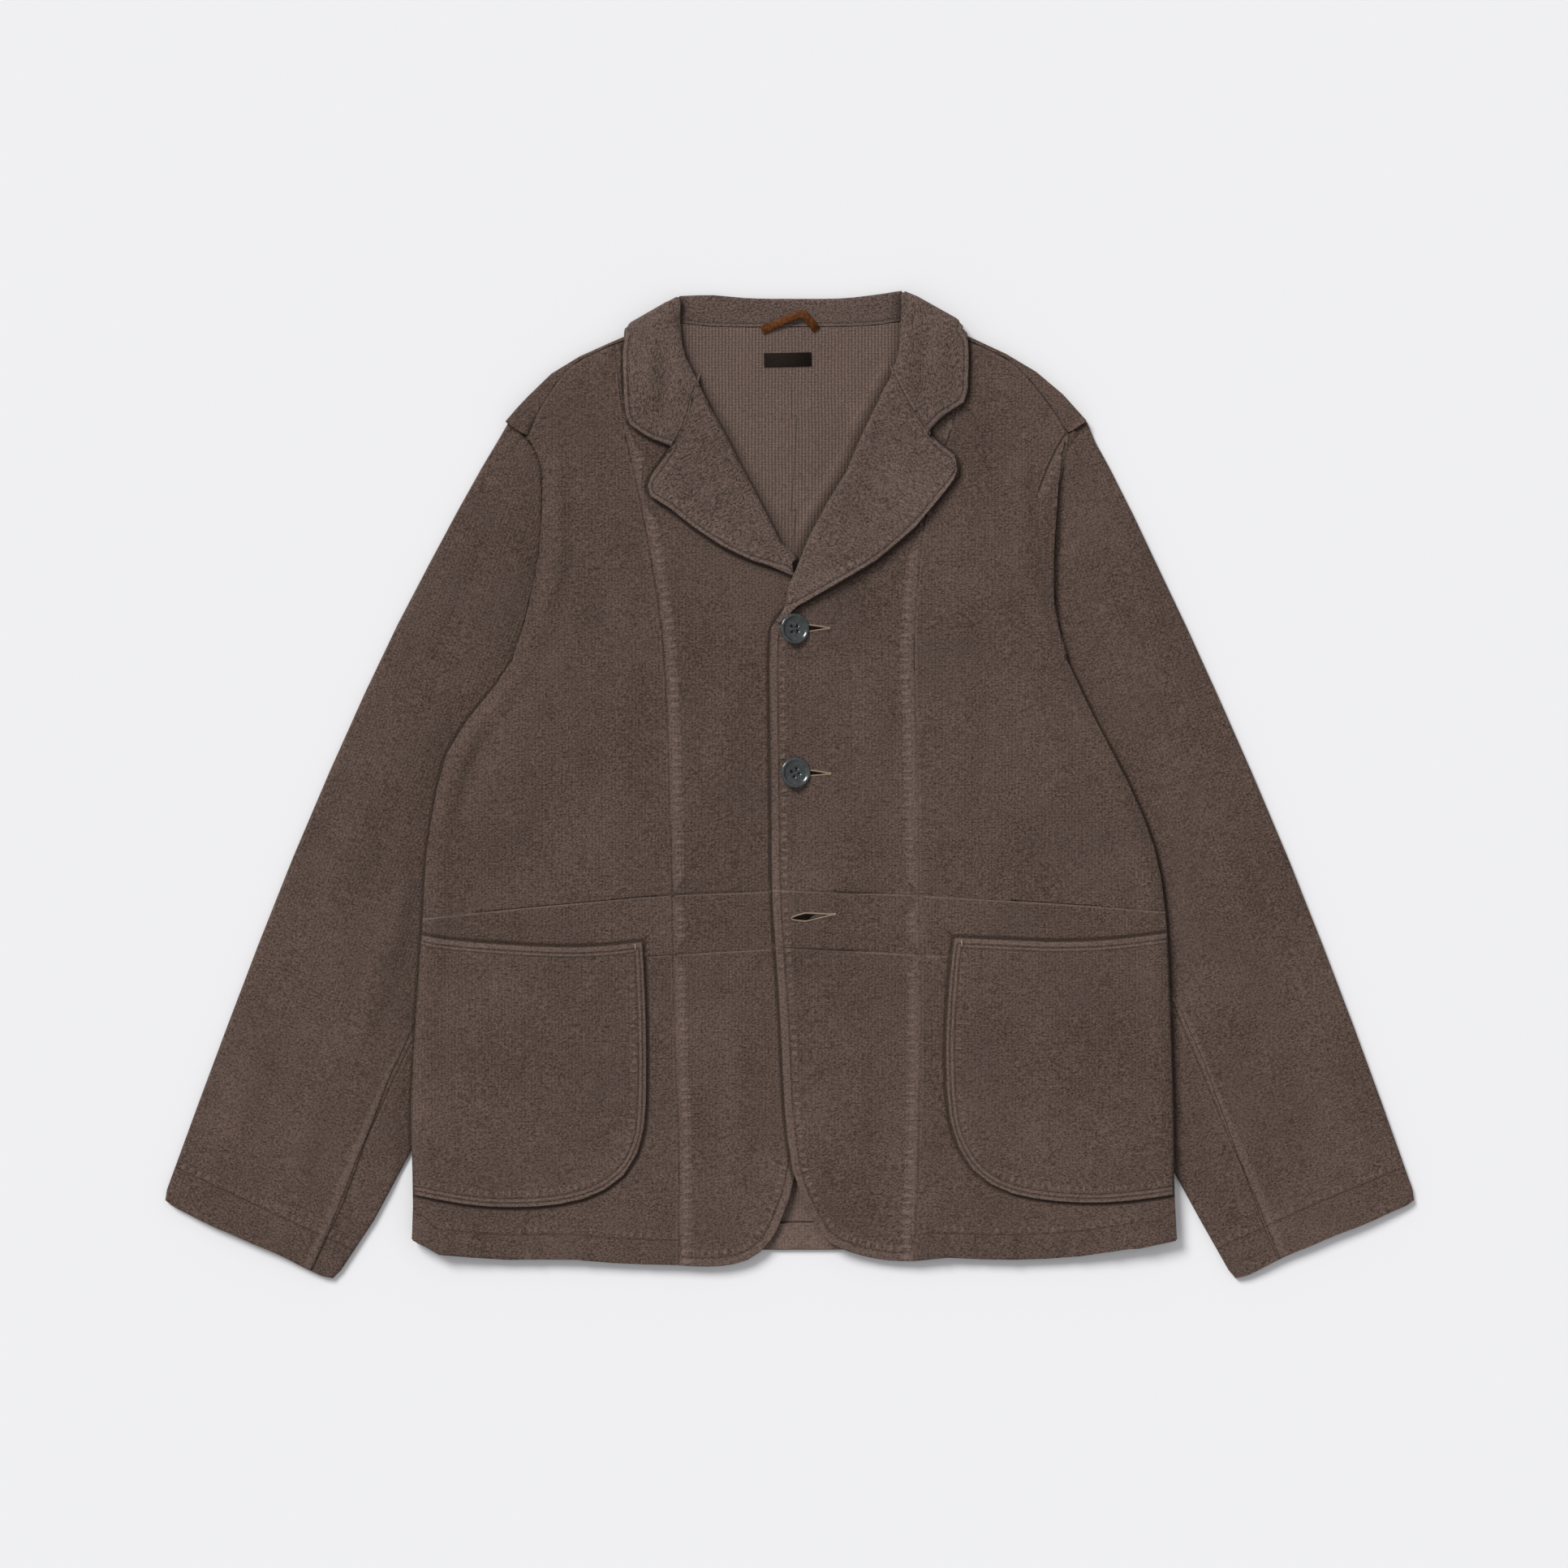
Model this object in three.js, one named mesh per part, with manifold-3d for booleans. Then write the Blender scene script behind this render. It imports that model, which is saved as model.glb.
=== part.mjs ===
// An unlined three-button jacket in heavy brushed corduroy, laid flat on its back. The sleeves are drawn down and
// the lower body lies over them; the wearer's left front lies over the right one.
// Millimetres. +X is the wearer's left, +Y runs from hem to collar, +Z is up from the surface the jacket lies on,
// and the origin is on that surface, under the middle of the laid-out garment.
// "right" and "left" are the wearer's.

import * as THREE from "three";
import { mergeVertices } from "three/addons/utils/BufferGeometryUtils.js";
import Module from "manifold-3d";

const wasm = await Module();
wasm.setup();

// ---------------------------------------------------------------- driving dimensions

const CLOTH = 1.8; // one ply of the corduroy
const GAP = 0.3; // between plies that are sewn together, and between two pieces at a seam
const REST = 0.9; // between a piece and the loose piece that lies on it
const AIR = 1.4; // extra looseness between the fronts and the back, away from their seams
const COLLAR_CLOTH = 2 * CLOTH + GAP; // top collar and under collar, sewn edge to edge
const PRESSED = 0.6; // between the two plies of a sleeve where the body lies on it
const SLEEVE_PUFF = 2.6; // how much further the plies of a free sleeve stand apart
const HEM_TURN = 18.5; // the back's hem, turned up inside
const HEM_LEVEL = -341;
const SEAM_HOLD = 1.2; // between the shoulder's turned edge and its seam
const LAP_EDGE = 24; // how far the right front reaches under the left one
const BUTTON = { radius: 11.5, thickness: 3.4, rim: 2.3, dish: 0.9, hole: 1.1, holeRing: 2.4, stand: 0.5 };
const LOOP = { width: 5.2, thickness: 1.1, lift: 2.2 };
const LABEL = { left: -19, right: 16, low: 310.2, high: 320.6, thickness: 0.7 };

// ---------------------------------------------------------------- outlines, as short tables

const table = (columns, rows) => rows.map((row) => Object.fromEntries(columns.map((name, i) => [name, row[i]])));

// How far each side of the body reaches at a level, from the hem up the side seam and round the armhole.
const BODY = table(
  ["level", "right", "left"],
  [
    [-334, -279, 286],
    [-298, -278, 284],
    [-250, -280, 284],
    [-180, -277, 282],
    [-137, -274, 280.5],
    [-95, -271, 278],
    [-50, -268.5, 271],
    [-10, -262, 256],
    [20, -255, 241],
    [45, -241, 228],
    [70, -221, 216],
    [98, -202, 203],
    [130, -192, 195],
    [165, -185, 194],
    [200, -182, 196],
    [235, -183, 199],
    [256, -193, 205],
    [269.5, -209, 218],
  ],
);

// The shoulder as it lies, from the neck point out to the armhole, and the seam that lies forward of it.
const SHOULDER = table(
  ["rightX", "rightY", "leftX", "leftY"],
  [
    [-90, 348.5, 92, 353.5],
    [-118, 334.5, 124, 336],
    [-133, 328.5, 142, 329],
    [-158, 317, 166, 317],
    [-177, 305, 185, 305],
    [-190, 293, 199, 293],
    [-200, 281, 211, 281],
    [-209, 269.5, 218, 269.5],
  ],
);
const SHOULDER_SEAM = table(
  ["rightX", "rightY", "leftX", "leftY"],
  [
    [-92, 342.5, 94, 348],
    [-117, 330.5, 123, 332],
    [-134, 324.5, 141, 325],
    [-158, 312.5, 161, 315],
    [-169, 302, 171, 307],
    [-177, 291, 183, 293],
    [-186, 276, 195, 277],
    [-193, 258, 205, 260],
  ],
);

// Neck seam of the back, and the fold at the top of the collar stand above it.
const NECK = table(
  ["x", "seam", "fold"],
  [
    [-79.5, 342.5, 362.6],
    [-60, 340.2, 363.6],
    [-30, 339.6, 361.2],
    [4, 339.8, 360.8],
    [40, 340, 361.2],
    [62, 341, 363.6],
    [81.5, 343.6, 366.4],
  ],
);

// The princess seam that parts the side and the centre panels, from the shoulder down to the hem.
const PRINCESS = table(
  ["level", "right", "left"],
  [
    [327.5, -128, 128],
    [269, -123, 121],
    [208, -110, 102],
    [117, -95, 92.5],
    [32, -90, 94],
    [-80, -87, 96],
    [-122, -86.5, 97],
    [-200, -84.5, 97],
    [-269, -82, 95.5],
    [-351, -82, 92],
    [-354, -82, 92],
  ],
);

// The waist band's two seams: their level at the side, at the princess seam and at the front edge.
const WAIST = table(
  ["seam", "sideRight", "sideLeft", "princess", "front"],
  [
    ["upper", -97, -92, -80, -76],
    ["lower", -139, -134, -124, -118],
  ],
);

// Front edges: the right one is hidden under the left one as far as the place where the skirts part.
const FRONT_EDGE = table(
  ["level", "right", "left"],
  [
    [118, 23, -14],
    [90, 23, -15],
    [40, 23, -14.5],
    [-30, 22, -13.5],
    [-76, 22, -13],
    [-118, 20, -10.5],
    [-180, 16, -6.5],
    [-240, 11, -3.5],
    [-283, 5, 2],
    [-304, 0, 9],
    [-328, -9.5, 21.5],
  ],
);

// The fronts' hems, from the princess seam to the front corner and from the side to the princess seam.
const HEM_CENTRE = table(
  ["rightX", "rightY", "leftX", "leftY"],
  [
    [-82, -354, 92, -351],
    [-66, -355, 74, -350.5],
    [-46, -354, 56, -347.5],
    [-30, -349.5, 38, -341.5],
    [-18, -340.5, 28, -335.5],
    [-9.5, -328, 21.5, -328],
  ],
);
const HEM_SIDE = table(
  ["rightX", "rightY", "leftX", "leftY"],
  [
    [-279, -334, 286, -334],
    [-273, -343, 279, -339.5],
    [-246, -347, 262, -340],
    [-206, -350, 212, -347.5],
    [-166, -349.5, 160, -350],
    [-124, -352.8, 104, -348.5],
    [-82, -354, 92, -351],
  ],
);

// Lapels, from the break at the front edge up to the gorge: where each rolls, and where its edge lies.
const LAPEL = {
  right: table(
    ["rollX", "rollY", "edgeX", "edgeY"],
    [
      [-1, 169, -2, 159.5],
      [-9, 186, -33, 169],
      [-22, 212, -62, 185],
      [-36, 238, -88, 205],
      [-48, 262, -103.5, 215.5],
      [-57, 277, -104, 226],
      [-64, 290, -95, 239],
      [-68, 299, -86.5, 251.5],
    ],
  ),
  left: table(
    ["rollX", "rollY", "edgeX", "edgeY"],
    [
      [-13, 127, -6, 128.4],
      [-5, 140, 9, 135],
      [4, 159, 32, 148],
      [14, 184, 64, 167],
      [28, 210, 92, 191],
      [42, 233, 113, 216],
      [52, 257, 125.5, 233],
      [61, 276, 121, 245],
      [70, 293, 111, 252.5],
      [76, 305, 101.5, 262],
    ],
  ),
};

// Collar leaves: above the gorge seam the inner side runs up the roll, the outer side up the free edge, and both
// end on the shoulder, where the collar turns round it and goes on behind the neck.
const LEAF_ROLL = {
  right: [[-69.2, 300], [-75, 311], [-79.5, 326], [-81, 341], [-81, 356.8]],
  left: [[77.4, 305.9], [80, 318], [82, 331], [82.5, 346], [83, 361.4]],
};
const LEAF_EDGE = {
  right: [[-117.5, 267], [-121, 275], [-122, 286], [-122.5, 300], [-123, 313], [-122.5, 325], [-120.5, 334]],
  left: [[128.5, 283.5], [131, 291], [131.5, 299], [132, 308], [132, 318], [131.5, 328], [126.5, 337]],
};
const LEAF_FRONT = { right: [-104, 257.6], left: [111.5, 272.5] }; // the middle of each leaf's short front edge
const COLLAR_FALL = { centre: 304, quarter: 309, shoulderX: 112, shoulderY: 321 }; // its hidden lower edge

// Patch pockets: corners and the middle of each side.
const POCKET = {
  right: {
    top: [[-272, -109.5], [-252, -113], [-209, -116.5], [-165, -118.5], [-136, -117.5], [-108, -114.5]],
    inner: [[-122, -287], [-111.5, -270], [-106.5, -250], [-105, -205], [-106, -154], [-108, -114.5]],
    bottom: [[-277.5, -301.5], [-240, -308.5], [-209, -311], [-172, -309], [-143, -301.5], [-122, -287]],
    side: [[-277.5, -301.5], [-279.5, -250], [-276.5, -180], [-272, -109.5]],
  },
  left: {
    top: [[279, -108], [237, -113], [196, -114.5], [158, -113], [121, -111.5]],
    inner: [[135, -283], [122.5, -262], [117, -238], [115, -194], [117.5, -144], [121, -111.5]],
    bottom: [[283.5, -301.5], [250, -306], [218, -307.5], [181, -304.5], [154, -297], [135, -283]],
    side: [[283.5, -301.5], [284, -250], [282, -180], [279, -108]],
  },
};

// Sleeves: their outer and inner folds, from the cuff up; the inner one ends hidden under the body.
const SLEEVE_OUTER = table(
  ["level", "right", "left"],
  [
    [-307, -464, 464],
    [-187, -420, 421],
    [-43, -364, 365],
    [101, -300, 302],
    [173, -263, 268],
    [221, -237, 245],
    [270, -209, 219],
  ],
);
const SLEEVE_INNER = table(
  ["level", "right", "left"],
  [
    [-366, -337.5, 329.5],
    [-307, -299, 296],
    [-270, -280.5, 276],
    [-100, -182, 181],
    [22, -112, 113],
  ],
);
const CUFF_MIDDLE = { right: [-403, -335.5], left: [395, -335.5] };
const PITCH_LEVEL = 148; // below this level the sleeve's head is tucked under the body
const FRONT_SEAM = { right: [0.872, 0.785, 0.74], left: [0.765, 0.69, 0.65] }; // share of the width: cuff, elbow, head
const BACK_SEAM = 0.24;

// Large soft folds in the fronts: from one end to the other, half width and height.
const FOLDS = table(
  ["fromX", "fromY", "toX", "toY", "halfWidth", "height"],
  [
    [-170, 232, -176, 110, 22, 1.2], // the right front rolls over the armhole
    [183, 236, 190, 105, 16, 2.0], // the left front rolls over the armhole
    [-212, 40, -236, -84, 26, 0.9],
    [226, 20, 246, -80, 26, 0.9],
    [-150, 60, -140, -60, 30, 0.7],
    [150, 40, 138, -66, 30, 0.7],
    [104, -318, 104, -352, 12, 1.4], // a ripple where the left princess seam reaches the hem
    [150, -325, 152, -352, 12, 0.8],
    [-166, -325, -168, -352, 14, 0.9],
  ],
);

// ---------------------------------------------------------------- curves and patches

const point = (x, y) => new THREE.Vector3(x, y, 0);

// A smooth curve through plan points.
function curve(points) {
  return new THREE.CatmullRomCurve3(points.map(([x, y]) => point(x, y)), false, "centripetal");
}

// A plan curve from a table that gives x for each level, between two levels.
function levelCurve(rows, side, from = -Infinity, to = Infinity) {
  const inside = rows.filter((row) => row.level > Math.min(from, to) && row.level < Math.max(from, to));
  const ends = [Math.min(from, to), Math.max(from, to)].filter(Number.isFinite);
  const levels = [...new Set([...inside.map((row) => row.level), ...ends])].sort((a, b) => a - b);
  const points = levels.map((level) => [valueAt(rows, side, level), level]);
  return curve(from > to ? points.reverse() : points);
}

const pairCurve = (rows, side) => curve(rows.map((row) => [row[side + "X"], row[side + "Y"]]));

// Reads a table at a level, straight between its rows.
function valueAt(rows, column, level, key = "level") {
  const sorted = [...rows].sort((a, b) => a[key] - b[key]);
  const next = Math.min(Math.max(sorted.findIndex((row) => row[key] >= level), 1), sorted.length - 1);
  const above = level > sorted[sorted.length - 1][key] ? sorted.length - 1 : next;
  const [low, high] = [sorted[above - 1], sorted[above]];
  return THREE.MathUtils.mapLinear(level, low[key], high[key], low[column], high[column]);
}

// A patch between four plan curves that meet at its corners; u runs along bottom and top, v along the two sides.
function patch(bottom, top, start, end) {
  const corner = [bottom.getPoint(0), bottom.getPoint(1), top.getPoint(0), top.getPoint(1)];
  return (u, v) => {
    const p = bottom.getPointAt(u).multiplyScalar(1 - v).addScaledVector(top.getPointAt(u), v);
    p.addScaledVector(start.getPointAt(v), 1 - u).addScaledVector(end.getPointAt(v), u);
    p.addScaledVector(corner[0], -(1 - u) * (1 - v)).addScaledVector(corner[1], -u * (1 - v));
    return p.addScaledVector(corner[2], -(1 - u) * v).addScaledVector(corner[3], -u * v);
  };
}

const line = (a, b) => new THREE.LineCurve3(a, b);

// Even steps from 0 to 1 over a length, held back from both ends by half a seam gap.
function steps(count, length, hold = GAP / 2) {
  const first = hold / length;
  return Array.from({ length: count + 1 }, (_, i) => THREE.MathUtils.lerp(first, 1 - first, i / count));
}

const smooth = (t) => 0.5 - 0.5 * Math.cos(Math.PI * THREE.MathUtils.clamp(t, 0, 1));

// ---------------------------------------------------------------- how high each layer lies

const sideSign = { right: -1, left: 1 };

// Distance past a plan line, positive on its left-hand side.
function beyond(x, y, from, to) {
  const [dx, dy] = [to[0] - from[0], to[1] - from[1]];
  return (dx * (y - from[1]) - dy * (x - from[0])) / Math.hypot(dx, dy);
}

const SLEEVE_PRESSED = 2 * CLOTH + PRESSED; // a sleeve's height where the body lies on it
const CLIMB = 110; // width over which the body climbs onto a hidden sleeve
const CLIMB_START = 18; // clear of the sleeve's edge

// 1 over the hidden part of a sleeve, falling to 0 at CLIMB beyond its inner fold and its tucked head.
function overSleeve(x, y, side) {
  const s = sideSign[side];
  const at = (level) => [valueAt(SLEEVE_INNER, side, level), level];
  const [low, high] = [at(-270), at(22)];
  const pitch = [valueAt(BODY, side, PITCH_LEVEL), PITCH_LEVEL];
  const past = [s * beyond(x, y, high, low), s * beyond(x, y, pitch, high)];
  return past.reduce((share, d) => share * (1 - smooth((-d - CLIMB_START) / CLIMB)), 1);
}

// 1 over the hidden fall of the collar, behind the neck.
function overFall(x, y) {
  const out = Math.abs(x - 4) / 146;
  const down = Math.max(365 - y, 0) / 80;
  return 1 - smooth((Math.cbrt(out ** 3 + down ** 3) - 1) / 0.75);
}

// The underside of the back: on the surface in the middle, over the sleeves and the collar's fall elsewhere.
function ground(x, y) {
  const sleeves = Math.max(overSleeve(x, y, "right"), overSleeve(x, y, "left")) * (SLEEVE_PRESSED + GAP);
  return sleeves + overFall(x, y) * (COLLAR_CLOTH + GAP);
}

const backLevel = (x, y) => ground(x, y) + CLOTH / 2;

// How far inside the body's sewn edges a point lies, 0 at the edge and 1 from 34 mm in.
function inside(x, y) {
  const side = x < 0 ? "right" : "left";
  const level = THREE.MathUtils.clamp(y, -334, 269.5);
  const fromSide = sideSign[side] * (valueAt(BODY, side, level) - x);
  const shoulder = SHOULDER.map((row) => ({ x: row[side + "X"], y: row[side + "Y"] }));
  const reach = sideSign[side] * Math.max(Math.abs(x), 92);
  const fromShoulder = 0.85 * (valueAt(shoulder, "y", reach, "x") - y);
  return smooth(fromSide / 34) * smooth((fromShoulder - 4) / 34);
}

function foldHeight(x, y) {
  const here = point(x, y);
  return FOLDS.reduce((sum, fold) => {
    const axis = new THREE.Line3(point(fold.fromX, fold.fromY), point(fold.toX, fold.toY));
    const distance = axis.closestPointToPoint(here, true, point(0, 0)).distanceTo(here);
    return sum + fold.height * (1 - smooth(distance / (2 * fold.halfWidth)));
  }, 0);
}

// Room between back and front: a sewn gap at the edges, air inside, and the turned-up hem at the bottom.
function room(x, y) {
  const hem = (CLOTH + REST) * (1 - smooth((y - HEM_LEVEL - HEM_TURN - 8) / 60));
  return GAP + hem + (AIR + foldHeight(x, y)) * inside(x, y);
}

const thirdButton = { x: 7, y: -97 };

// The middle of a front's cloth. The left front climbs over the right one's edge and over the hidden button.
function frontLevel(x, y, side) {
  const flat = ground(x, y) + CLOTH + room(x, y) + CLOTH / 2;
  if (side === "right") return flat;
  const lap = (CLOTH + 0.7) * (1 - smooth((x - LAP_EDGE - 3) / 34));
  const reach = Math.hypot(x - thirdButton.x, y - thirdButton.y) - BUTTON.radius - 3;
  const dome = (BUTTON.thickness + 0.6) * (1 - smooth(reach / 30)) * (y > -150 ? 1 : 0);
  return flat + lap + dome;
}

// ---------------------------------------------------------------- walls of cloth

// A closed wall of even thickness on a grid of points in the middle of the cloth. It covers the grid's cells that
// has(row, column) keeps, so a strip can go on from part of a panel's edge.
function wall(grid, thickness = CLOTH, has = () => true) {
  const [rows, columns] = [grid.length, grid[0].length];
  const kept = (j, i) => j >= 0 && i >= 0 && j < rows - 1 && i < columns - 1 && has(j, i);
  const cells = [];
  for (let j = 0; j < rows - 1; j++) for (let i = 0; i < columns - 1; i++) if (kept(j, i)) cells.push([j, i]);
  const normals = grid.map((row) => row.map(() => new THREE.Vector3()));
  for (const [j, i] of cells) {
    const up = grid[j + 1][i + 1].clone().sub(grid[j][i]).cross(grid[j + 1][i].clone().sub(grid[j][i + 1]));
    for (const [row, column] of [[j, i], [j, i + 1], [j + 1, i], [j + 1, i + 1]]) normals[row][column].add(up);
  }
  const positions = [];
  for (const side of [0.5, -0.5])
    grid.forEach((row, j) =>
      row.forEach((p, i) => {
        const normal = normals[j][i].clone().normalize();
        positions.push(...p.clone().addScaledVector(normal, side * thickness).toArray());
      }),
    );
  const index = [];
  const top = (j, i) => j * columns + i;
  const under = (j, i) => rows * columns + top(j, i);
  const quad = (a, b, c, d) => index.push(a, b, c, a, c, d);
  const rim = (a, b) => quad(top(...a), under(...a), under(...b), top(...b));
  for (const [j, i] of cells) {
    quad(top(j, i), top(j, i + 1), top(j + 1, i + 1), top(j + 1, i));
    quad(under(j, i), under(j + 1, i), under(j + 1, i + 1), under(j, i + 1));
    if (!kept(j - 1, i)) rim([j, i], [j, i + 1]);
    if (!kept(j + 1, i)) rim([j + 1, i + 1], [j + 1, i]);
    if (!kept(j, i - 1)) rim([j + 1, i], [j, i]);
    if (!kept(j, i + 1)) rim([j, i + 1], [j + 1, i + 1]);
  }
  const geometry = new THREE.BufferGeometry();
  geometry.setAttribute("position", new THREE.Float32BufferAttribute(positions, 3));
  geometry.setIndex(index);
  return geometry;
}

// A plain panel: a patch in plan at the height that level gives.
function panel(plan, us, vs, level, thickness = CLOTH) {
  const grid = vs.map((v) =>
    us.map((u) => {
      const p = plan(u, v);
      return p.setZ(level(p.x, p.y, u, v));
    }),
  );
  return wall(grid, thickness);
}

function toSolid(geometry) {
  const bare = new THREE.BufferGeometry();
  bare.setAttribute("position", geometry.getAttribute("position"));
  bare.setIndex(geometry.index);
  const merged = mergeVertices(bare, 1e-4);
  const made = new wasm.Manifold(
    new wasm.Mesh({
      numProp: 3,
      vertProperties: new Float32Array(merged.attributes.position.array),
      triVerts: new Uint32Array(merged.index.array),
    }),
  );
  if (made.volume() > 0) return made;
  const index = merged.index.array;
  for (let i = 0; i < index.length; i += 3) [index[i + 1], index[i + 2]] = [index[i + 2], index[i + 1]];
  return toSolid(merged);
}

function toGeometry(solid) {
  const mesh = solid.getMesh();
  const geometry = new THREE.BufferGeometry();
  geometry.setAttribute("position", new THREE.Float32BufferAttribute(mesh.vertProperties, 3));
  geometry.setIndex(Array.from(mesh.triVerts));
  return geometry;
}

// ---------------------------------------------------------------- the jacket

const jacket = new THREE.Group();
jacket.name = "jacket";

const CLOTH_COLOUR = { outer: 0x5a4b42, lapel: 0x5e4f46, inner: 0x6c5d53 };

function add(name, geometry, colour, roughness = 0.95) {
  const material = new THREE.MeshStandardMaterial({ color: colour, roughness, metalness: 0 });
  const outward = toGeometry(toSolid(geometry));
  outward.computeVertexNormals();
  const mesh = new THREE.Mesh(outward, material);
  mesh.name = name;
  jacket.add(mesh);
}

const CHEST_ROWS = 19;

// Side seam stations that the back and the front panels share, so that their edges run together.
function sideLevels(side) {
  const [upper, lower] = WAIST.map((seam) => seam[side === "right" ? "sideRight" : "sideLeft"]);
  const run = (from, to, count) => Array.from({ length: count }, (_, i) => THREE.MathUtils.lerp(from, to, i / count));
  return {
    skirt: [...run(-334, lower, 6), lower],
    band: [lower, (lower + upper) / 2, upper],
    chest: [...run(upper, 98, CHEST_ROWS - 11), ...run(98, 256, 10), 256, 269.5],
  };
}

// A plan curve through given levels of the body's side that keeps its stations when it is sampled evenly.
class StationCurve extends THREE.Curve {
  constructor(points) {
    super();
    this.points = points;
  }

  getPoint(t, target = new THREE.Vector3()) {
    const place = THREE.MathUtils.clamp(t, 0, 1) * (this.points.length - 1);
    const i = Math.min(Math.floor(place), this.points.length - 2);
    return target.lerpVectors(this.points[i], this.points[i + 1], place - i);
  }

  getPointAt(t, target) {
    return this.getPoint(t, target);
  }
}

function sideCurve(side, levels) {
  const smoothSide = levelCurve(BODY, side);
  const sampled = smoothSide.getSpacedPoints(400);
  const rows = sampled.map((p) => ({ level: p.y, x: p.x }));
  return new StationCurve(levels.map((level) => point(valueAt(rows, "x", level), level)));
}

// The shoulder seam as one even polyline from the neck to the armhole, and the share of it where the princess
// seam meets it.
const shoulderSeam = (side) => new StationCurve(pairCurve(SHOULDER_SEAM, side).getSpacedPoints(60));

function princessShare(side) {
  const { points } = shoulderSeam(side);
  return points.findIndex((p) => Math.abs(p.x) > Math.abs(PRINCESS[0][side])) / (points.length - 1);
}

// -- back

const SHOULDER_INSET = 2.0; // from the shoulder's outermost line to where its fold starts

// The shoulder line moved inwards, square to itself, by a distance.
function shoulderCurve(side, inset = 0) {
  const outer = pairCurve(SHOULDER, side);
  const count = 14;
  const moved = Array.from({ length: count + 1 }, (_, i) => {
    const t = i / count;
    const tangent = outer.getTangentAt(t);
    const across = point(tangent.y, -tangent.x).multiplyScalar(sideSign[side] * -1);
    const p = outer.getPointAt(t);
    const inward = across.y > 0 ? across.negate() : across;
    return p.addScaledVector(inward, inset);
  });
  return new THREE.CatmullRomCurve3(moved, false, "centripetal");
}

const SHOULDER_CELLS = 6;

function addBack() {
  const right = sideLevels("right");
  const left = sideLevels("left");
  const all = (levels) => [...levels.skirt, ...levels.band.slice(1, -1), ...levels.chest];
  const rightSide = sideCurve("right", all(right));
  const leftSide = sideCurve("left", all(left));
  const shoulderRight = shoulderCurve("right", SHOULDER_INSET).getSpacedPoints(SHOULDER_CELLS).reverse();
  const shoulderLeft = shoulderCurve("left", SHOULDER_INSET).getSpacedPoints(SHOULDER_CELLS);
  const neck = NECK.map((row) => point(row.x, row.seam - GAP / 2));
  const topCurve = new StationCurve([
    rightSide.getPoint(1), ...shoulderRight.slice(1), ...neck, ...shoulderLeft.slice(0, -1), leftSide.getPoint(1),
  ]);
  const bottom = curve([[-279, -334], [-262, -340], [-130, -342], [0, HEM_LEVEL], [130, -341], [268, -339], [286, -334]]);
  const plan = patch(bottom, topCurve, rightSide, leftSide);
  const columns = topCurve.points.length - 1;
  const us = Array.from({ length: columns + 1 }, (_, i) => i / columns);
  const rows = rightSide.points.length - 1;
  const vs = Array.from({ length: rows + 1 }, (_, i) => i / rows);
  const held = (u, v) => plan(THREE.MathUtils.clamp(u, 0.0006, 0.9994), Math.min(v, 0.9996));
  const sheet = vs.map((v) =>
    us.map((u) => {
      const p = held(u, v);
      return p.setZ(backLevel(p.x, p.y));
    }),
  );

  // The hem turns round its fold and up inside.
  const radius = (CLOTH + GAP) / 2;
  const hem = [180, 135, 90, 45].map((degrees) => {
    const angle = THREE.MathUtils.degToRad(degrees);
    return { up: -radius * Math.sin(angle), lift: radius * (1 - Math.cos(angle)) };
  });
  const hemRows = [{ up: HEM_TURN - radius, lift: 2 * radius }, ...hem].map(({ up, lift }) =>
    us.map((u) => {
      const p = held(u, 0);
      const turned = p.clone().add(point(0, up)).setZ(backLevel(p.x, p.y) + lift);
      turned.x *= 0.9985;
      return turned;
    }),
  );

  // Each shoulder turns forward round its fold as far as the shoulder seam.
  const turnedRows = Array.from({ length: 5 }, () => sheet[sheet.length - 1].map((p) => p.clone()));
  for (const side of ["right", "left"]) {
    const axis = shoulderCurve(side, SHOULDER_INSET);
    const seam = shoulderSeam(side);
    for (let k = 0; k <= SHOULDER_CELLS; k++) {
      const t = k / SHOULDER_CELLS;
      const column = side === "left" ? columns - SHOULDER_CELLS + k : SHOULDER_CELLS - k;
      const from = sheet[sheet.length - 1][column];
      const tangent = axis.getTangentAt(t);
      const out = point(-tangent.y, tangent.x);
      if (out.y < 0) out.negate();
      const low = from.z;
      const radius = (frontLevel(from.x, from.y, "right") - low) / 2;
      [45, 90, 135, 180].forEach((degrees, row) => {
        const angle = THREE.MathUtils.degToRad(degrees);
        const p = point(from.x, from.y).addScaledVector(out, radius * Math.sin(angle));
        turnedRows[row][column] = p.setZ(low + radius * (1 - Math.cos(angle)));
      });
      const to = seam.getPointAt(Math.min(t, 0.985)).addScaledVector(out, SEAM_HOLD);
      turnedRows[4][column] = to.setZ(frontLevel(to.x, to.y, "right"));
    }
  }
  const grid = [...hemRows, ...sheet, ...turnedRows];
  const top = hemRows.length + sheet.length - 1;
  const has = (j, i) => j < top || i < SHOULDER_CELLS || i >= columns - SHOULDER_CELLS;
  add("back", wall(grid, CLOTH, has), CLOTH_COLOUR.inner);
}

// -- fronts

// Part of the shoulder seam, between two shares of it.
function seamRun(side, from, to) {
  const seam = shoulderSeam(side);
  return new StationCurve(Array.from({ length: 21 }, (_, i) => seam.getPoint(THREE.MathUtils.lerp(from, to, i / 20))));
}

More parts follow.
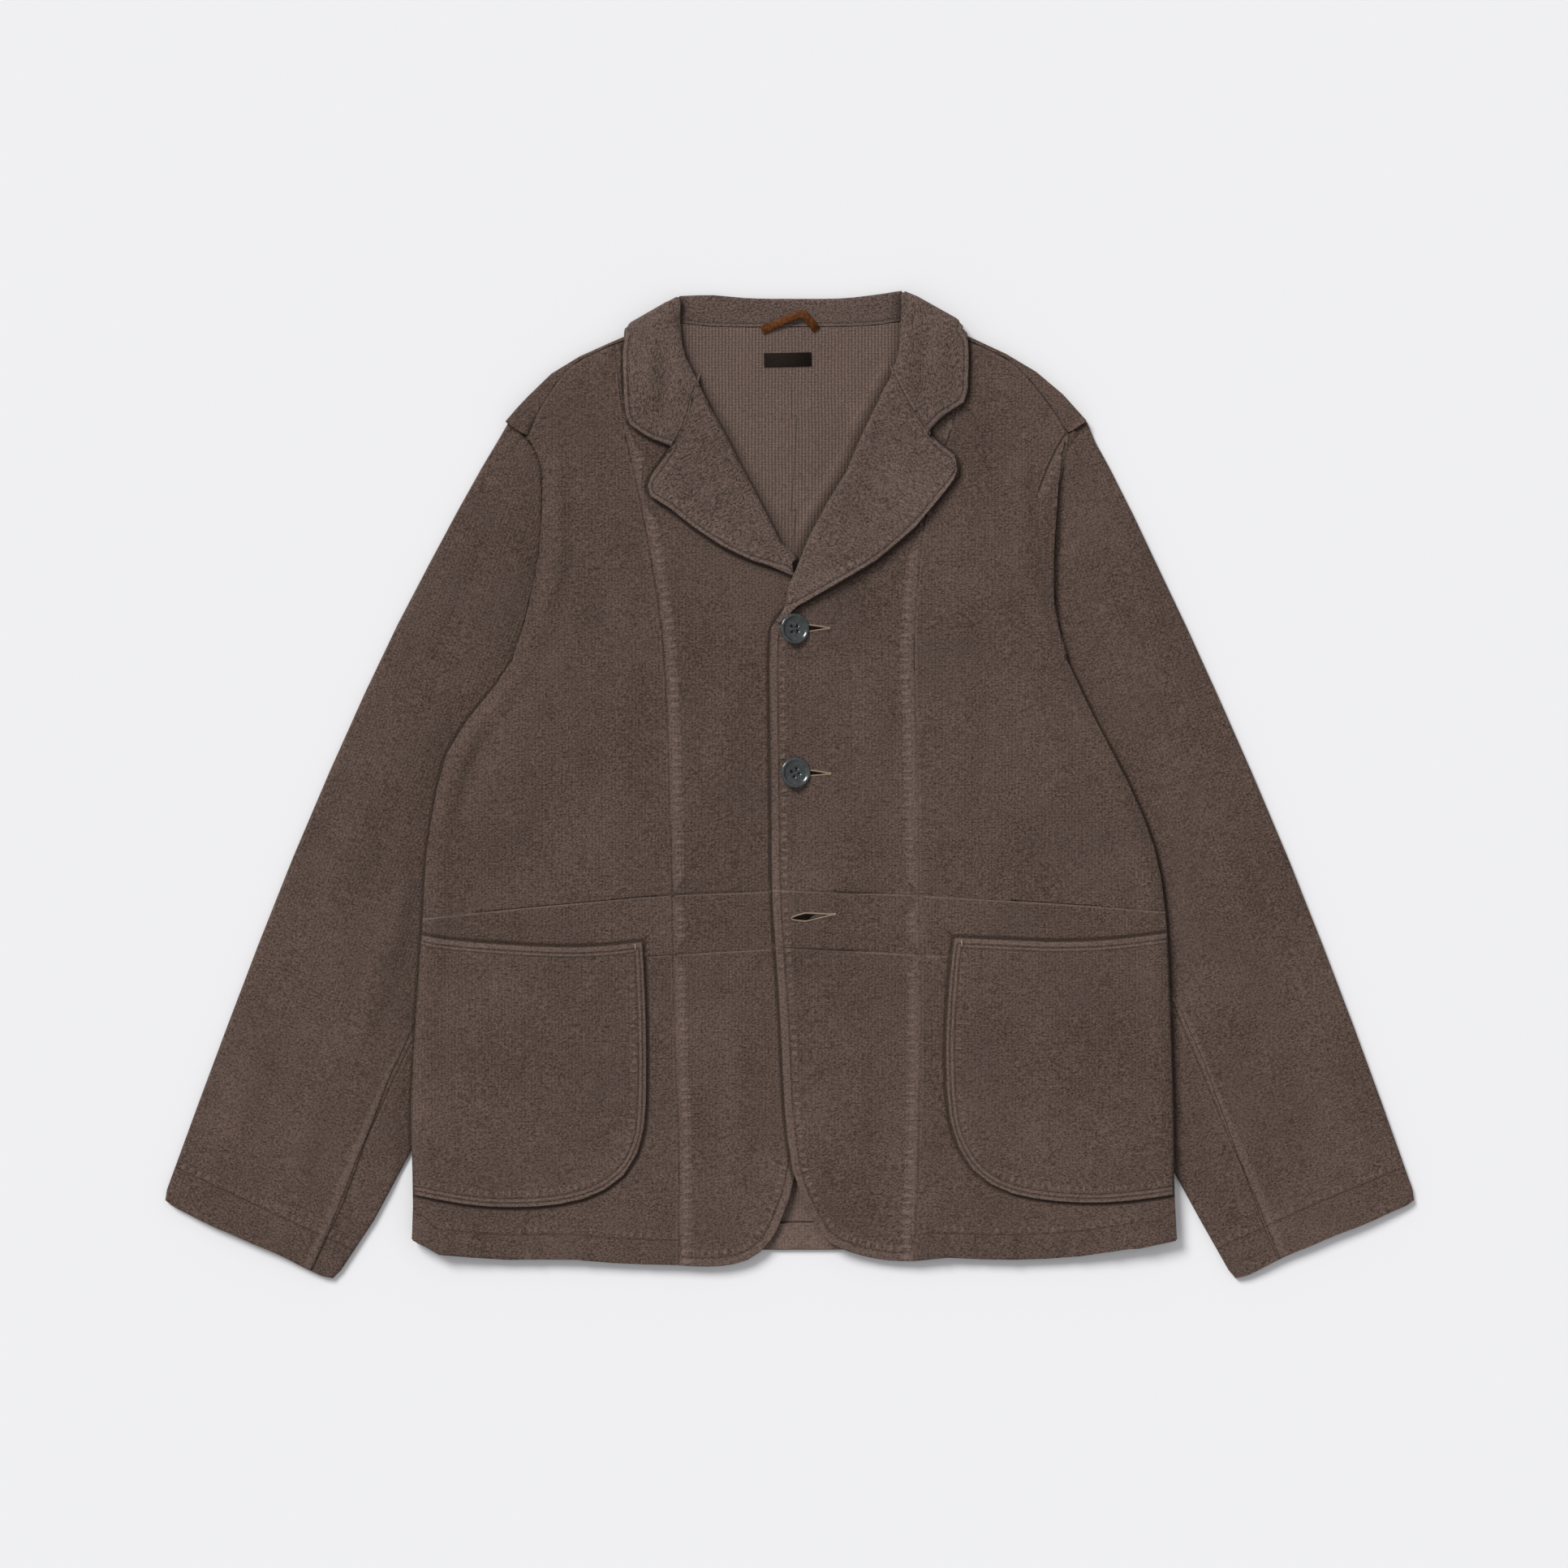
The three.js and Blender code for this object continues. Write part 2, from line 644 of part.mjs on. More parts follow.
function splitPrincess(side) {
  const top = shoulderSeam(side).getPoint(princessShare(side));
  const rows = PRINCESS.slice(1).map((row) => [row[side], row.level]);
  const whole = curve([...rows.reverse(), [top.x, top.y]]);
  const dense = whole.getSpacedPoints(500).map((p) => ({ level: p.y, x: p.x }));
  const part = (from, to) =>
    curve(Array.from({ length: 9 }, (_, i) => {
      const level = THREE.MathUtils.lerp(from, to, i / 8);
      return [valueAt(dense, "x", level), level];
    }));
  const [upper, lower] = WAIST.map((seam) => seam.princess);
  return { skirt: part(HEM_CENTRE[0][side + "Y"], lower), band: part(lower, upper), chest: part(upper, top.y) };
}

function splitFrontEdge(side) {
  const whole = levelCurve(FRONT_EDGE, side);
  const dense = whole.getSpacedPoints(500).map((p) => ({ level: p.y, x: p.x }));
  const part = (from, to) =>
    curve(Array.from({ length: 9 }, (_, i) => {
      const level = THREE.MathUtils.lerp(from, to, i / 8);
      return [valueAt(dense, "x", level), level];
    }));
  const [upper, lower] = WAIST.map((seam) => seam.front);
  return { skirt: part(-328, lower), band: part(lower, upper), chest: part(upper, 118) };
}

function addFront(side) {
  const levels = sideLevels(side);
  const level = (x, y) => frontLevel(x, y, side);
  const princess = splitPrincess(side);
  const edge = splitFrontEdge(side);
  const even = (count) => Array.from({ length: count + 1 }, (_, i) => i / count);

  const sideOf = (part) => sideCurve(side, levels[part]);
  const seamAcross = (from, to) => {
    const [a, b] = [from.getPoint(0), to.getPoint(0)];
    return line(a, b);
  };
  const seamTop = (from, to) => line(from.getPoint(1), to.getPoint(1));

  // Panels hold back from their seams by half the seam gap.
  const held = (plan, width, height, hold = GAP / 2) => (u, v) =>
    plan(
      THREE.MathUtils.lerp(hold / width, 1 - hold / width, u),
      THREE.MathUtils.lerp(hold / height, 1 - hold / height, v),
    );

  // side panels
  const skirtSide = patch(pairCurve(HEM_SIDE, side), seamTop(sideOf("skirt"), princess.skirt), sideOf("skirt"), princess.skirt);
  add(side + "_skirt_side", panel(held(skirtSide, 190, 215), even(8), even(8), level), CLOTH_COLOUR.outer);
  const bandSide = patch(
    seamAcross(sideOf("band"), princess.band),
    seamTop(sideOf("band"), princess.band),
    sideOf("band"),
    princess.band,
  );
  add(side + "_band_side", panel(held(bandSide, 190, 42), even(8), even(2), level), CLOTH_COLOUR.outer);
  const chestLevels = levels.chest.filter((y) => y < 259);
  const armEnd = shoulderSeam(side).getPoint(1);
  const chestEdge = new StationCurve([...sideCurve(side, chestLevels).points, armEnd]);
  const share = princessShare(side);
  const chestSide = patch(seamAcross(chestEdge, princess.chest), seamRun(side, 1, share), chestEdge, princess.chest);
  const chestRows = chestEdge.points.length - 1;
  add(side + "_chest_side", panel(held(chestSide, 150, 360), even(8), even(chestRows), level), CLOTH_COLOUR.outer);

  // centre panels
  const skirtCentre = patch(pairCurve(HEM_CENTRE, side), seamTop(princess.skirt, edge.skirt), princess.skirt, edge.skirt);
  add(side + "_skirt_centre", panel(held(skirtCentre, 100, 230), even(8), even(9), level), CLOTH_COLOUR.outer);
  const bandCentre = patch(
    seamAcross(princess.band, edge.band),
    seamTop(princess.band, edge.band),
    princess.band,
    edge.band,
  );
  const bandCells = side === "left" ? [12, 5] : [6, 3];
  add(
    side + "_band_centre",
    panel(held(bandCentre, 104, 44), even(bandCells[0]), even(bandCells[1]), level),
    CLOTH_COLOUR.outer,
  );
  addChestCentre(side, princess.chest, edge.chest, level);
}

// -- lapel: the chest's own cloth turned back at the roll, and the facing on it

const LAPEL_ROWS = 9;
const BREAK = { right: [point(19, 146)], left: [] }; // the hidden corner of the right front, under the lap
const GORGE_BOW = 3.4; // the gorge seam bends towards the neck
const LAPEL_RISE = CLOTH + REST; // from the chest's middle to the middle of the part turned back
const FACING_RISE = CLOTH + GAP;
const ROLL_RADIUS = LAPEL_RISE / 2;
const FACING_RADIUS = ROLL_RADIUS + FACING_RISE;

// The middle of the roll, the way out of it, and the lapel's edge, at stations from the break to the gorge.
function lapelStations(side, count) {
  const rows = LAPEL[side];
  const roll = curve(rows.map((row) => [row.rollX, row.rollY]));
  const edge = curve(rows.map((row) => [row.edgeX, row.edgeY]));
  return Array.from({ length: count + 1 }, (_, i) => {
    const t = THREE.MathUtils.lerp(0.004, 0.996, i / count);
    const tangent = roll.getTangent(t);
    const out = point(tangent.y, -tangent.x).multiplyScalar(side === "right" ? 1 : -1);
    const axis = roll.getPoint(t).addScaledVector(out, -(FACING_RADIUS + CLOTH / 2));
    return { t, out, axis, edge: edge.getPoint(t) };
  });
}

// A point of a lapel in plan, from its roll to its edge.
function lapelPoint(station, share) {
  const bow = GORGE_BOW * Math.sin(Math.PI * share) * station.t ** 8;
  return station.axis.clone().lerp(station.edge, share).addScaledVector(station.out, bow);
}

// The flat part of a lapel, at a height over the front.
function lapelSpan(station, side, rise, cells) {
  return Array.from({ length: cells }, (_, i) => {
    const share = (i + 1) / cells;
    const p = lapelPoint(station, share);
    const flare = 1.1 * smooth(share) * smooth(station.t * 5);
    return p.setZ(frontLevel(p.x, p.y, side) + rise + flare);
  });
}

function addChestCentre(side, princess, edge, level) {
  const stations = lapelStations(side, LAPEL_ROWS);
  const edgeCells = CHEST_ROWS - LAPEL_ROWS - 3 - BREAK[side].length;
  const rollTop = stations[stations.length - 1].axis;
  const neckPoint = shoulderSeam(side).getPoint(0);
  const neckline = point(rollTop.x + sideSign[side] * 14, rollTop.y + 22);
  const boundary = new StationCurve([
    ...edge.getSpacedPoints(edgeCells), ...BREAK[side], ...stations.map((station) => station.axis), neckline, neckPoint,
  ]);
  const shoulder = seamRun(side, princessShare(side), 0);
  const plan = patch(line(princess.getPoint(0), edge.getPoint(0)), shoulder, princess, boundary);
  const us = steps(7, 100);
  const firstRoll = edgeCells + 1 + BREAK[side].length;
  const grid = Array.from({ length: CHEST_ROWS + 1 }, (_, j) => {
    const v = THREE.MathUtils.clamp(j / CHEST_ROWS, 0.0005, 0.9995);
    const row = us.map((u) => {
      const p = plan(u, v);
      return p.setZ(level(p.x, p.y));
    });
    const station = stations[j - firstRoll];
    if (!station) return [...row, ...Array.from({ length: 8 }, () => row[row.length - 1].clone())];
    const { axis, out } = station;
    const low = level(axis.x, axis.y);
    row[row.length - 1] = axis.clone().setZ(low);
    const bend = [45, 90, 135, 180].map(THREE.MathUtils.degToRad).map((angle) => {
      const p = axis.clone().addScaledVector(out, ROLL_RADIUS * Math.sin(angle));
      return p.setZ(low + ROLL_RADIUS * (1 - Math.cos(angle)));
    });
    return [...row, ...bend, ...lapelSpan(station, side, LAPEL_RISE, 4)];
  });
  const has = (j, i) => i < us.length - 1 || (j >= firstRoll && j < firstRoll + LAPEL_ROWS);
  add(side + "_chest_centre", wall(grid, CLOTH, has), CLOTH_COLOUR.outer);
}

function addFacing(side) {
  const grid = lapelStations(side, LAPEL_ROWS).map((station, j) => {
    const bend = [1, 0.75, 0.5, 0.25, 0].map((share) => THREE.MathUtils.degToRad(share * (j ? 115 : 100)));
    const { axis, out } = station;
    const middle = frontLevel(axis.x, axis.y, side) + ROLL_RADIUS;
    const path = bend.map((angle) => {
      const p = axis.clone().addScaledVector(out, FACING_RADIUS * Math.sin(angle));
      return p.setZ(middle + FACING_RADIUS * Math.cos(angle));
    });
    return [...path, ...lapelSpan(station, side, LAPEL_RISE + FACING_RISE, 4)];
  });
  add(side + "_lapel_facing", wall(grid), CLOTH_COLOUR.lapel);
}

// -- pockets

function addPocket(side) {
  const { top, inner, bottom, side: outer } = POCKET[side];
  const plan = patch(curve(bottom), curve(top), curve(outer), curve(inner));
  const level = (x, y, u, v) => {
    const belly = Math.sin(Math.PI * Math.min(u, 1)) * Math.sin(Math.PI * Math.min(0.12 + 0.88 * v, 1));
    return frontLevel(x, y, "right") + CLOTH + 0.7 + 1.3 * belly;
  };
  add(side + "_pocket", panel(plan, steps(9, 160, 1), steps(9, 190, 0.5), level), CLOTH_COLOUR.outer);
}

// -- sleeves

function sleevePlan(side) {
  const outer = levelCurve(SLEEVE_OUTER, side);
  const inner = levelCurve(SLEEVE_INNER, side);
  const cuff = curve([
    [SLEEVE_OUTER[0][side], SLEEVE_OUTER[0].level],
    CUFF_MIDDLE[side],
    [SLEEVE_INNER[0][side], SLEEVE_INNER[0].level],
  ]);
  const headRows = BODY.filter((row) => row.level > PITCH_LEVEL && row.level < 262).reverse();
  const tip = SLEEVE_INNER[SLEEVE_INNER.length - 1];
  const head = curve([
    [SLEEVE_OUTER[SLEEVE_OUTER.length - 1][side], 270],
    ...headRows.map((row) => [row[side] + sideSign[side] * 1.2, row.level]),
    [valueAt(BODY, side, PITCH_LEVEL) - sideSign[side] * 2, PITCH_LEVEL],
    [tip[side] + sideSign[side] * 30, tip.level + 48],
    [tip[side], tip.level],
  ]);
  return patch(cuff, head, outer, inner);
}

// The upper ply's height over the lower one: pressed under the body, standing off where the sleeve lies free.
function sleeveRise(x, y, u, side) {
  const level = THREE.MathUtils.clamp(y, -334, 269);
  const clear = sideSign[side] * (x - valueAt(BODY, side, level));
  const free = smooth((clear - 7) / 46);
  return CLOTH + PRESSED + SLEEVE_PUFF * free * Math.sin(Math.PI * THREE.MathUtils.clamp(u, 0, 1)) ** 0.7;
}

function addSleeve(side) {
  const plan = sleevePlan(side);
  const [atCuff, atElbow, atHead] = FRONT_SEAM[side];
  const frontSeam = (s) => (s < 0.3 ? THREE.MathUtils.lerp(atCuff, atElbow, s / 0.3)
    : THREE.MathUtils.lerp(atElbow, atHead, (s - 0.3) / 0.7));
  const stations = [0, 0.04, 0.12, 0.22, 0.32, 0.43, 0.54, 0.64, 0.73, 0.81, 0.88, 0.94, 0.9975];
  const radius = (CLOTH + PRESSED) / 2;
  const inset = (CLOTH / 2 + radius) / 160; // share of the width that a fold takes
  const seam = GAP / 2 / 160;
  const fold = [0, 45, 90, 135, 180].map(THREE.MathUtils.degToRad);
  const run = (from, to, count) => Array.from({ length: count }, (_, i) => THREE.MathUtils.lerp(from, to, i / count));

  const section = (s, path) =>
    path.map(({ u, high }) => {
      const p = plan(u, s);
      const rise = sleeveRise(p.x, p.y, u, side);
      return p.setZ(CLOTH / 2 + (rise * (high + 1)) / 2);
    });
  const folded = (edge, inwards) =>
    fold.map((angle) => ({ u: edge + inwards * (inset - (radius / 160) * Math.sin(angle)), high: Math.cos(angle) }));

  const topSleeve = stations.map((s) => {
    const front = frontSeam(s) - seam;
    const upper = run(front, inset + 0.01, 6).map((u) => ({ u, high: 1 }));
    const lower = [0.1, BACK_SEAM - seam].map((u) => ({ u, high: -1 }));
    return section(s, [...upper, ...folded(0, 1), ...lower]);
  });
  add(side + "_sleeve_top", wall(topSleeve), CLOTH_COLOUR.outer);

  const underSleeve = stations.map((s) => {
    const front = frontSeam(s) + seam;
    const lower = run(BACK_SEAM + seam, 1 - inset - 0.01, 4).map((u) => ({ u, high: -1 }));
    const turn = folded(1, -1).reverse();
    const upper = [0.5, 1].map((share) => ({ u: THREE.MathUtils.lerp(1 - inset, front, share), high: 1 }));
    return section(s, [...lower, ...turn, ...upper]);
  });
  add(side + "_sleeve_under", wall(underSleeve), CLOTH_COLOUR.outer);
}

// -- collar and stand

const GORGE_GAP = 1.9;
const LEAF_RISE = CLOTH / 2 + REST + COLLAR_CLOTH / 2; // from the front's middle to the collar's middle
const ROLL_DROP = 2.0; // the leaf bends down to the neck along its roll
const FALL_LEVEL = COLLAR_CLOTH / 2;

function leafRows(side) {
  const gorgeStation = lapelStations(side, LAPEL_ROWS).pop();
  const gorge = [1, 0.8, 0.6, 0.4, 0.2, 0].map((share) => lapelPoint(gorgeStation, share));
  const along = gorge[5].clone().sub(gorge[0]).normalize();
  const away = point(-along.y, along.x).multiplyScalar(-sideSign[side] * GORGE_GAP);
  const inner = new StationCurve([
    ...gorge.map((p) => p.clone().add(away)), ...LEAF_ROLL[side].map(([x, y]) => point(x, y)),
  ]);
  const outer = curve(LEAF_EDGE[side]);
  const axis = line(inner.getPoint(1), outer.getPoint(1));
  const front = new StationCurve([inner.getPoint(0), point(...LEAF_FRONT[side]), outer.getPoint(0)]);
  const across = steps(5, 45, 0.05);
  const plan = patch(front, axis, inner, outer);
  const rollStart = inner.points[6].y;
  const rise = (p, u) => {
    const rolled = smooth((p.y - rollStart + 6) / 18) * (1 - smooth((u * 42) / 9));
    return frontLevel(p.x, p.y, "right") + LEAF_RISE - ROLL_DROP * rolled;
  };
  const rows = inner.points.length - 1;
  const leaf = inner.points.map((_, j) =>
    across.map((u) => {
      const p = plan(u, j / rows);
      return p.setZ(rise(p, u));
    }),
  );

  // round the shoulder
  const direction = axis.getTangent(0);
  const out = point(-direction.y, direction.x);
  if (out.y < 0) out.negate();
  const starts = leaf[leaf.length - 1];
  const turn = [45, 90, 135, 180].map((degrees) => {
    const angle = THREE.MathUtils.degToRad(degrees);
    return starts.map((start) => {
      const r = (start.z - FALL_LEVEL) / 2;
      return point(start.x, start.y)
        .addScaledVector(out, r * Math.sin(angle))
        .setZ(FALL_LEVEL + r * (1 + Math.cos(angle)));
    });
  });

  // behind the neck
  const s = sideSign[side];
  const neckRows = NECK.filter((row) => row.x * s > 20).sort((a, b) => s * (b.x - a.x));
  const innerFall = curve([
    [starts[0].x, starts[0].y],
    ...neckRows.slice(1).map((row) => [row.x, row.fold - 3.4]),
    [4, NECK[3].fold - 3.4],
  ]);
  const last2 = starts[starts.length - 1];
  const outerFall = curve([
    [last2.x, last2.y],
    [s * COLLAR_FALL.shoulderX + 4, COLLAR_FALL.shoulderY],
    [s * 66 + 4, COLLAR_FALL.quarter],
    [4, COLLAR_FALL.centre],
  ]);
  const centre = line(innerFall.getPoint(1), outerFall.getPoint(1));
  const startLine = line(point(starts[0].x, starts[0].y), point(last2.x, last2.y));
  const fallPlan = patch(startLine, centre, innerFall, outerFall);
  const fall = [0.25, 0.5, 0.75, 1].map((v) => across.map((u) => fallPlan(u, v).setZ(FALL_LEVEL)));
  return [...leaf, ...turn, ...fall];
}

function addCollar() {
  const right = leafRows("right");
  const left = leafRows("left");
  const grid = [...right, ...left.slice(0, -1).reverse()];
  add("collar", wall(grid, COLLAR_CLOTH), CLOTH_COLOUR.lapel);
}

function addStand() {
  const across = Array.from({ length: 15 }, (_, i) => THREE.MathUtils.lerp(NECK[0].x, NECK[NECK.length - 1].x, i / 14));
  const seam = curve(NECK.map((row) => [row.x, row.seam + GAP / 2]));
  const fold = curve(NECK.map((row) => [row.x, row.fold]));
  const radius = (backLevel(4, 352) - FALL_LEVEL) / 2;
  const inset = radius + CLOTH / 2;
  const rows = across.map((_, i) => {
    const low = seam.getPointAt(i / 14);
    const high = fold.getPointAt(i / 14).add(point(0, -inset));
    const path = [0, 0.5].map((share) => {
      const p = low.clone().lerp(high, share);
      return p.setZ(backLevel(p.x, p.y));
    });
    const top = backLevel(4, 352);
    for (const degrees of [0, 45, 90, 135, 175]) {
      const angle = THREE.MathUtils.degToRad(degrees);
      path.push(point(high.x, high.y + radius * Math.sin(angle)).setZ(top - radius * (1 - Math.cos(angle))));
    }
    return path;
  });
  add("collar_stand", wall(rows), CLOTH_COLOUR.lapel);
}

// -- buttons, loop and label

function buttonGeometry() {
  const { radius, thickness, rim, dish, hole, holeRing } = BUTTON;
  const inner = radius - rim;
  const profile = [
    [0, 0], [radius - 1.6, 0], [radius, 1.5], [radius - 0.3, thickness - 0.8],
    [radius - 1.1, thickness], [inner, thickness - 0.25], [inner - 1.1, thickness - dish], [0, thickness - dish],
  ].map(([x, y]) => new THREE.Vector2(x, y));
  const disc = new THREE.LatheGeometry(profile, 20).rotateX(Math.PI / 2);
  let solid = toSolid(disc);
  for (let i = 0; i < 4; i++) {
    const angle = (i + 0.5) * (Math.PI / 2);
    const drill = new THREE.CylinderGeometry(hole, hole, 3 * thickness, 6).rotateX(Math.PI / 2);
    drill.translate(holeRing * Math.cos(angle), holeRing * Math.sin(angle), 0);
    solid = solid.subtract(toSolid(drill));
  }
  return toGeometry(solid);
}

const BUTTONS = table(
  ["name", "x", "y", "on"],
  [
    ["button_top", 3.6, 116.4, "left"],
    ["button_middle", 4.2, 10.2, "left"],
    ["button_low", thirdButton.x, thirdButton.y, "right"],
  ],
);

function addButtons() {
  for (const { name, x, y, on } of BUTTONS) {
    const seat = frontLevel(x, y, on) + CLOTH / 2 + BUTTON.stand;
    add(name, buttonGeometry().translate(x, y, seat), 0x3a4044, 0.35);
  }
}

function addLoop() {
  const route = curve([[-20, 337.5], [-12, 341], [2, 346], [9.5, 348.3], [14, 344.5], [18.5, 337.5]]);
  const count = 16;
  const grid = Array.from({ length: count + 1 }, (_, i) => {
    const t = i / count;
    const p = route.getPointAt(t);
    const tangent = route.getTangentAt(t);
    const across = point(-tangent.y, tangent.x);
    const lift = LOOP.lift * Math.sin(Math.PI * t) ** 0.6;
    const height = backLevel(p.x, p.y) + CLOTH / 2 + GAP + 0.15 + LOOP.thickness / 2 + lift;
    return [-0.5, 0, 0.5].map((share) => p.clone().addScaledVector(across, share * LOOP.width).setZ(height));
  });
  add("hanger_loop", wall(grid, LOOP.thickness), 0x80501f, 0.6);
}

function addLabel() {
  const columns = [0, 0.25, 0.5, 0.75, 1].map((share) => THREE.MathUtils.lerp(LABEL.left, LABEL.right, share));
  const rows = [LABEL.low, (LABEL.low + LABEL.high) / 2, LABEL.high];
  const grid = rows.map((y) =>
    columns.map((x) => point(x, y + 0.02 * x).setZ(backLevel(x, y) + CLOTH / 2 + GAP + 0.1 + LABEL.thickness / 2)),
  );
  add("label_patch", wall(grid, LABEL.thickness), 0x241f1c, 0.8);
}

addBack();
for (const side of ["right", "left"]) {
  addFront(side);
  addFacing(side);
  addPocket(side);
  addSleeve(side);
}
addCollar();
addStand();
addButtons();
addLoop();
addLabel();

export default jacket;
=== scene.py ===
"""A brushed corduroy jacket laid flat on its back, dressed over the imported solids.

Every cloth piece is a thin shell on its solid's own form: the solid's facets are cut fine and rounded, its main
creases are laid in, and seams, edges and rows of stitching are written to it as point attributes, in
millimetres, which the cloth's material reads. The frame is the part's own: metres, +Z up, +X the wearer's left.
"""

from __future__ import annotations

import logging
import math
from dataclasses import dataclass, field
from enum import Enum

import bmesh
import bpy
import numpy as np
from mathutils import Matrix, Vector
from mathutils.bvhtree import BVHTree

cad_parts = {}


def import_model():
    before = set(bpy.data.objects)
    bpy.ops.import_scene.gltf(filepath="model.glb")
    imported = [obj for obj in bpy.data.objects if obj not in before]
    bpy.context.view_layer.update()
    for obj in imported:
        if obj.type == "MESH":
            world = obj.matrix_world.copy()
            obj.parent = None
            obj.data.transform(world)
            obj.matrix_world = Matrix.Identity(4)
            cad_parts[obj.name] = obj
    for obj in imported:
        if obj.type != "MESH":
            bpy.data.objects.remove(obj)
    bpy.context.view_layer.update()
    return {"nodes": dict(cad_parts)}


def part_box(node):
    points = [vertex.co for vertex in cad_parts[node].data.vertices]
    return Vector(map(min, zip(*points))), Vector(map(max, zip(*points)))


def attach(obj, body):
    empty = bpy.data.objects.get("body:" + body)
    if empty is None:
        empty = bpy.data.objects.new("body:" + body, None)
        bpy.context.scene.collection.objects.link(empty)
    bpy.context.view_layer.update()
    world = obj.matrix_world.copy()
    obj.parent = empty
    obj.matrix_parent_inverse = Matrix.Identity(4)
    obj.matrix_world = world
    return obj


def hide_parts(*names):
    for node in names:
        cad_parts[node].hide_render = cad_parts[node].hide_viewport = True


LOG = logging.getLogger("jacket")
MM = 0.001
Point = tuple[float, float]
SIGN = {"right": 1, "left": -1}
SIDES = tuple(SIGN)
NOWHERE = 60.0  # distance written where no edge, row or seam is near
NO_SECOND_ROW = 120.0


def smooth(t: np.ndarray | float) -> np.ndarray:
    """Eases from 0 to 1 as t goes from 0 to 1."""
    return 0.5 - 0.5 * np.cos(np.pi * np.clip(t, 0.0, 1.0))


# ------------------------------------------------------------------------------------------------ lines in plan


class Line:
    """A smooth line in plan, in millimetres, that tells how far points lie from it and how far along."""

    def __init__(self, points: list[Point], curved: bool = True, step: float = 4.0) -> None:
        """Takes the points the line passes through.

        Args:
            points: x and y of each point.
            curved: False keeps the line straight between its points.
            step: spacing of the fine polyline.
        """
        knots = np.array(points, float)
        fine = [knots[0]]
        for i in range(len(knots) - 1):
            p0 = knots[max(i - 1, 0)]
            p1, p2 = knots[i], knots[i + 1]
            p3 = knots[min(i + 2, len(knots) - 1)]
            count = max(1, int(np.linalg.norm(p2 - p1) / step))
            for k in range(1, count + 1):
                t = k / count
                if curved:
                    a, b = (p2 - p0) / 2, (p3 - p1) / 2
                    scale = np.linalg.norm(p2 - p1)
                    a = a * min(1.0, 1.2 * scale / max(np.linalg.norm(a), 1e-6))
                    b = b * min(1.0, 1.2 * scale / max(np.linalg.norm(b), 1e-6))
                    h = t * t * (3 - 2 * t)
                    fine.append(p1 + (p2 - p1) * h + a * t * (1 - t) ** 2 - b * t * t * (1 - t))
                else:
                    fine.append(p1 + (p2 - p1) * t)
        self.points = self._simplified(np.array(fine))
        lengths = np.linalg.norm(np.diff(self.points, axis=0), axis=1)
        self.run = np.concatenate([[0.0], np.cumsum(lengths)])

    @staticmethod
    def _simplified(points: np.ndarray, tolerance: float = 0.05) -> np.ndarray:
        """Drops the points that lie on the straight between their neighbours."""
        kept, stack = {0, len(points) - 1}, [(0, len(points) - 1)]
        while stack:
            low, high = stack.pop()
            if high - low < 2:
                continue
            along = points[high] - points[low]
            size = max(float(np.linalg.norm(along)), 1e-9)
            off = points[low + 1 : high] - points[low]
            away = np.abs(along[0] * off[:, 1] - along[1] * off[:, 0]) / size
            far = int(np.argmax(away))
            if away[far] > tolerance:
                middle = low + 1 + far
                kept.add(middle)
                stack += [(low, middle), (middle, high)]
        return points[sorted(kept)]

    @property
    def length(self) -> float:
        """The line's length in millimetres."""
        return float(self.run[-1])

    def at(self, run: np.ndarray) -> np.ndarray:
        """Points at distances along the line."""
        return np.stack([np.interp(run, self.run, self.points[:, k]) for k in (0, 1)], axis=1)

    def heading(self, run: np.ndarray) -> np.ndarray:
        """Unit directions at distances along the line."""
        ahead = self.at(np.clip(run + 1.0, 0, self.length)) - self.at(np.clip(run - 1.0, 0, self.length))
        return ahead / np.maximum(np.linalg.norm(ahead, axis=1, keepdims=True), 1e-9)

    def moved(self, distance: float) -> "Line":
        """The line moved to its left by a distance."""
        run = np.linspace(0, self.length, max(2, int(self.length / 6) + 1))
        ahead = self.heading(run)
        shifted = self.at(run) + np.stack([-ahead[:, 1], ahead[:, 0]], axis=1) * distance
        return Line([tuple(p) for p in shifted], curved=False)

    def measure(self, where: np.ndarray) -> tuple[np.ndarray, np.ndarray]:
        """Signed distance from the line, positive on its left, and the run to the nearest place on it."""
        best = np.full(len(where), 1e9)
        signed = np.full(len(where), 1e9)
        run = np.zeros(len(where))
        for a, b, start in zip(self.points[:-1], self.points[1:], self.run[:-1]):
            along = b - a
            size = max(float(np.linalg.norm(along)), 1e-9)
            t = np.clip(((where - a) @ along) / size**2, 0, 1)
            off = where - (a + t[:, None] * along)
            distance = np.linalg.norm(off, axis=1)
            nearer = distance < best
            side = np.where(along[0] * off[:, 1] - along[1] * off[:, 0] >= 0, 1.0, -1.0)
            best = np.where(nearer, distance, best)
            signed = np.where(nearer, distance * side, signed)
            run = np.where(nearer, start + t * size, run)
        return signed, run


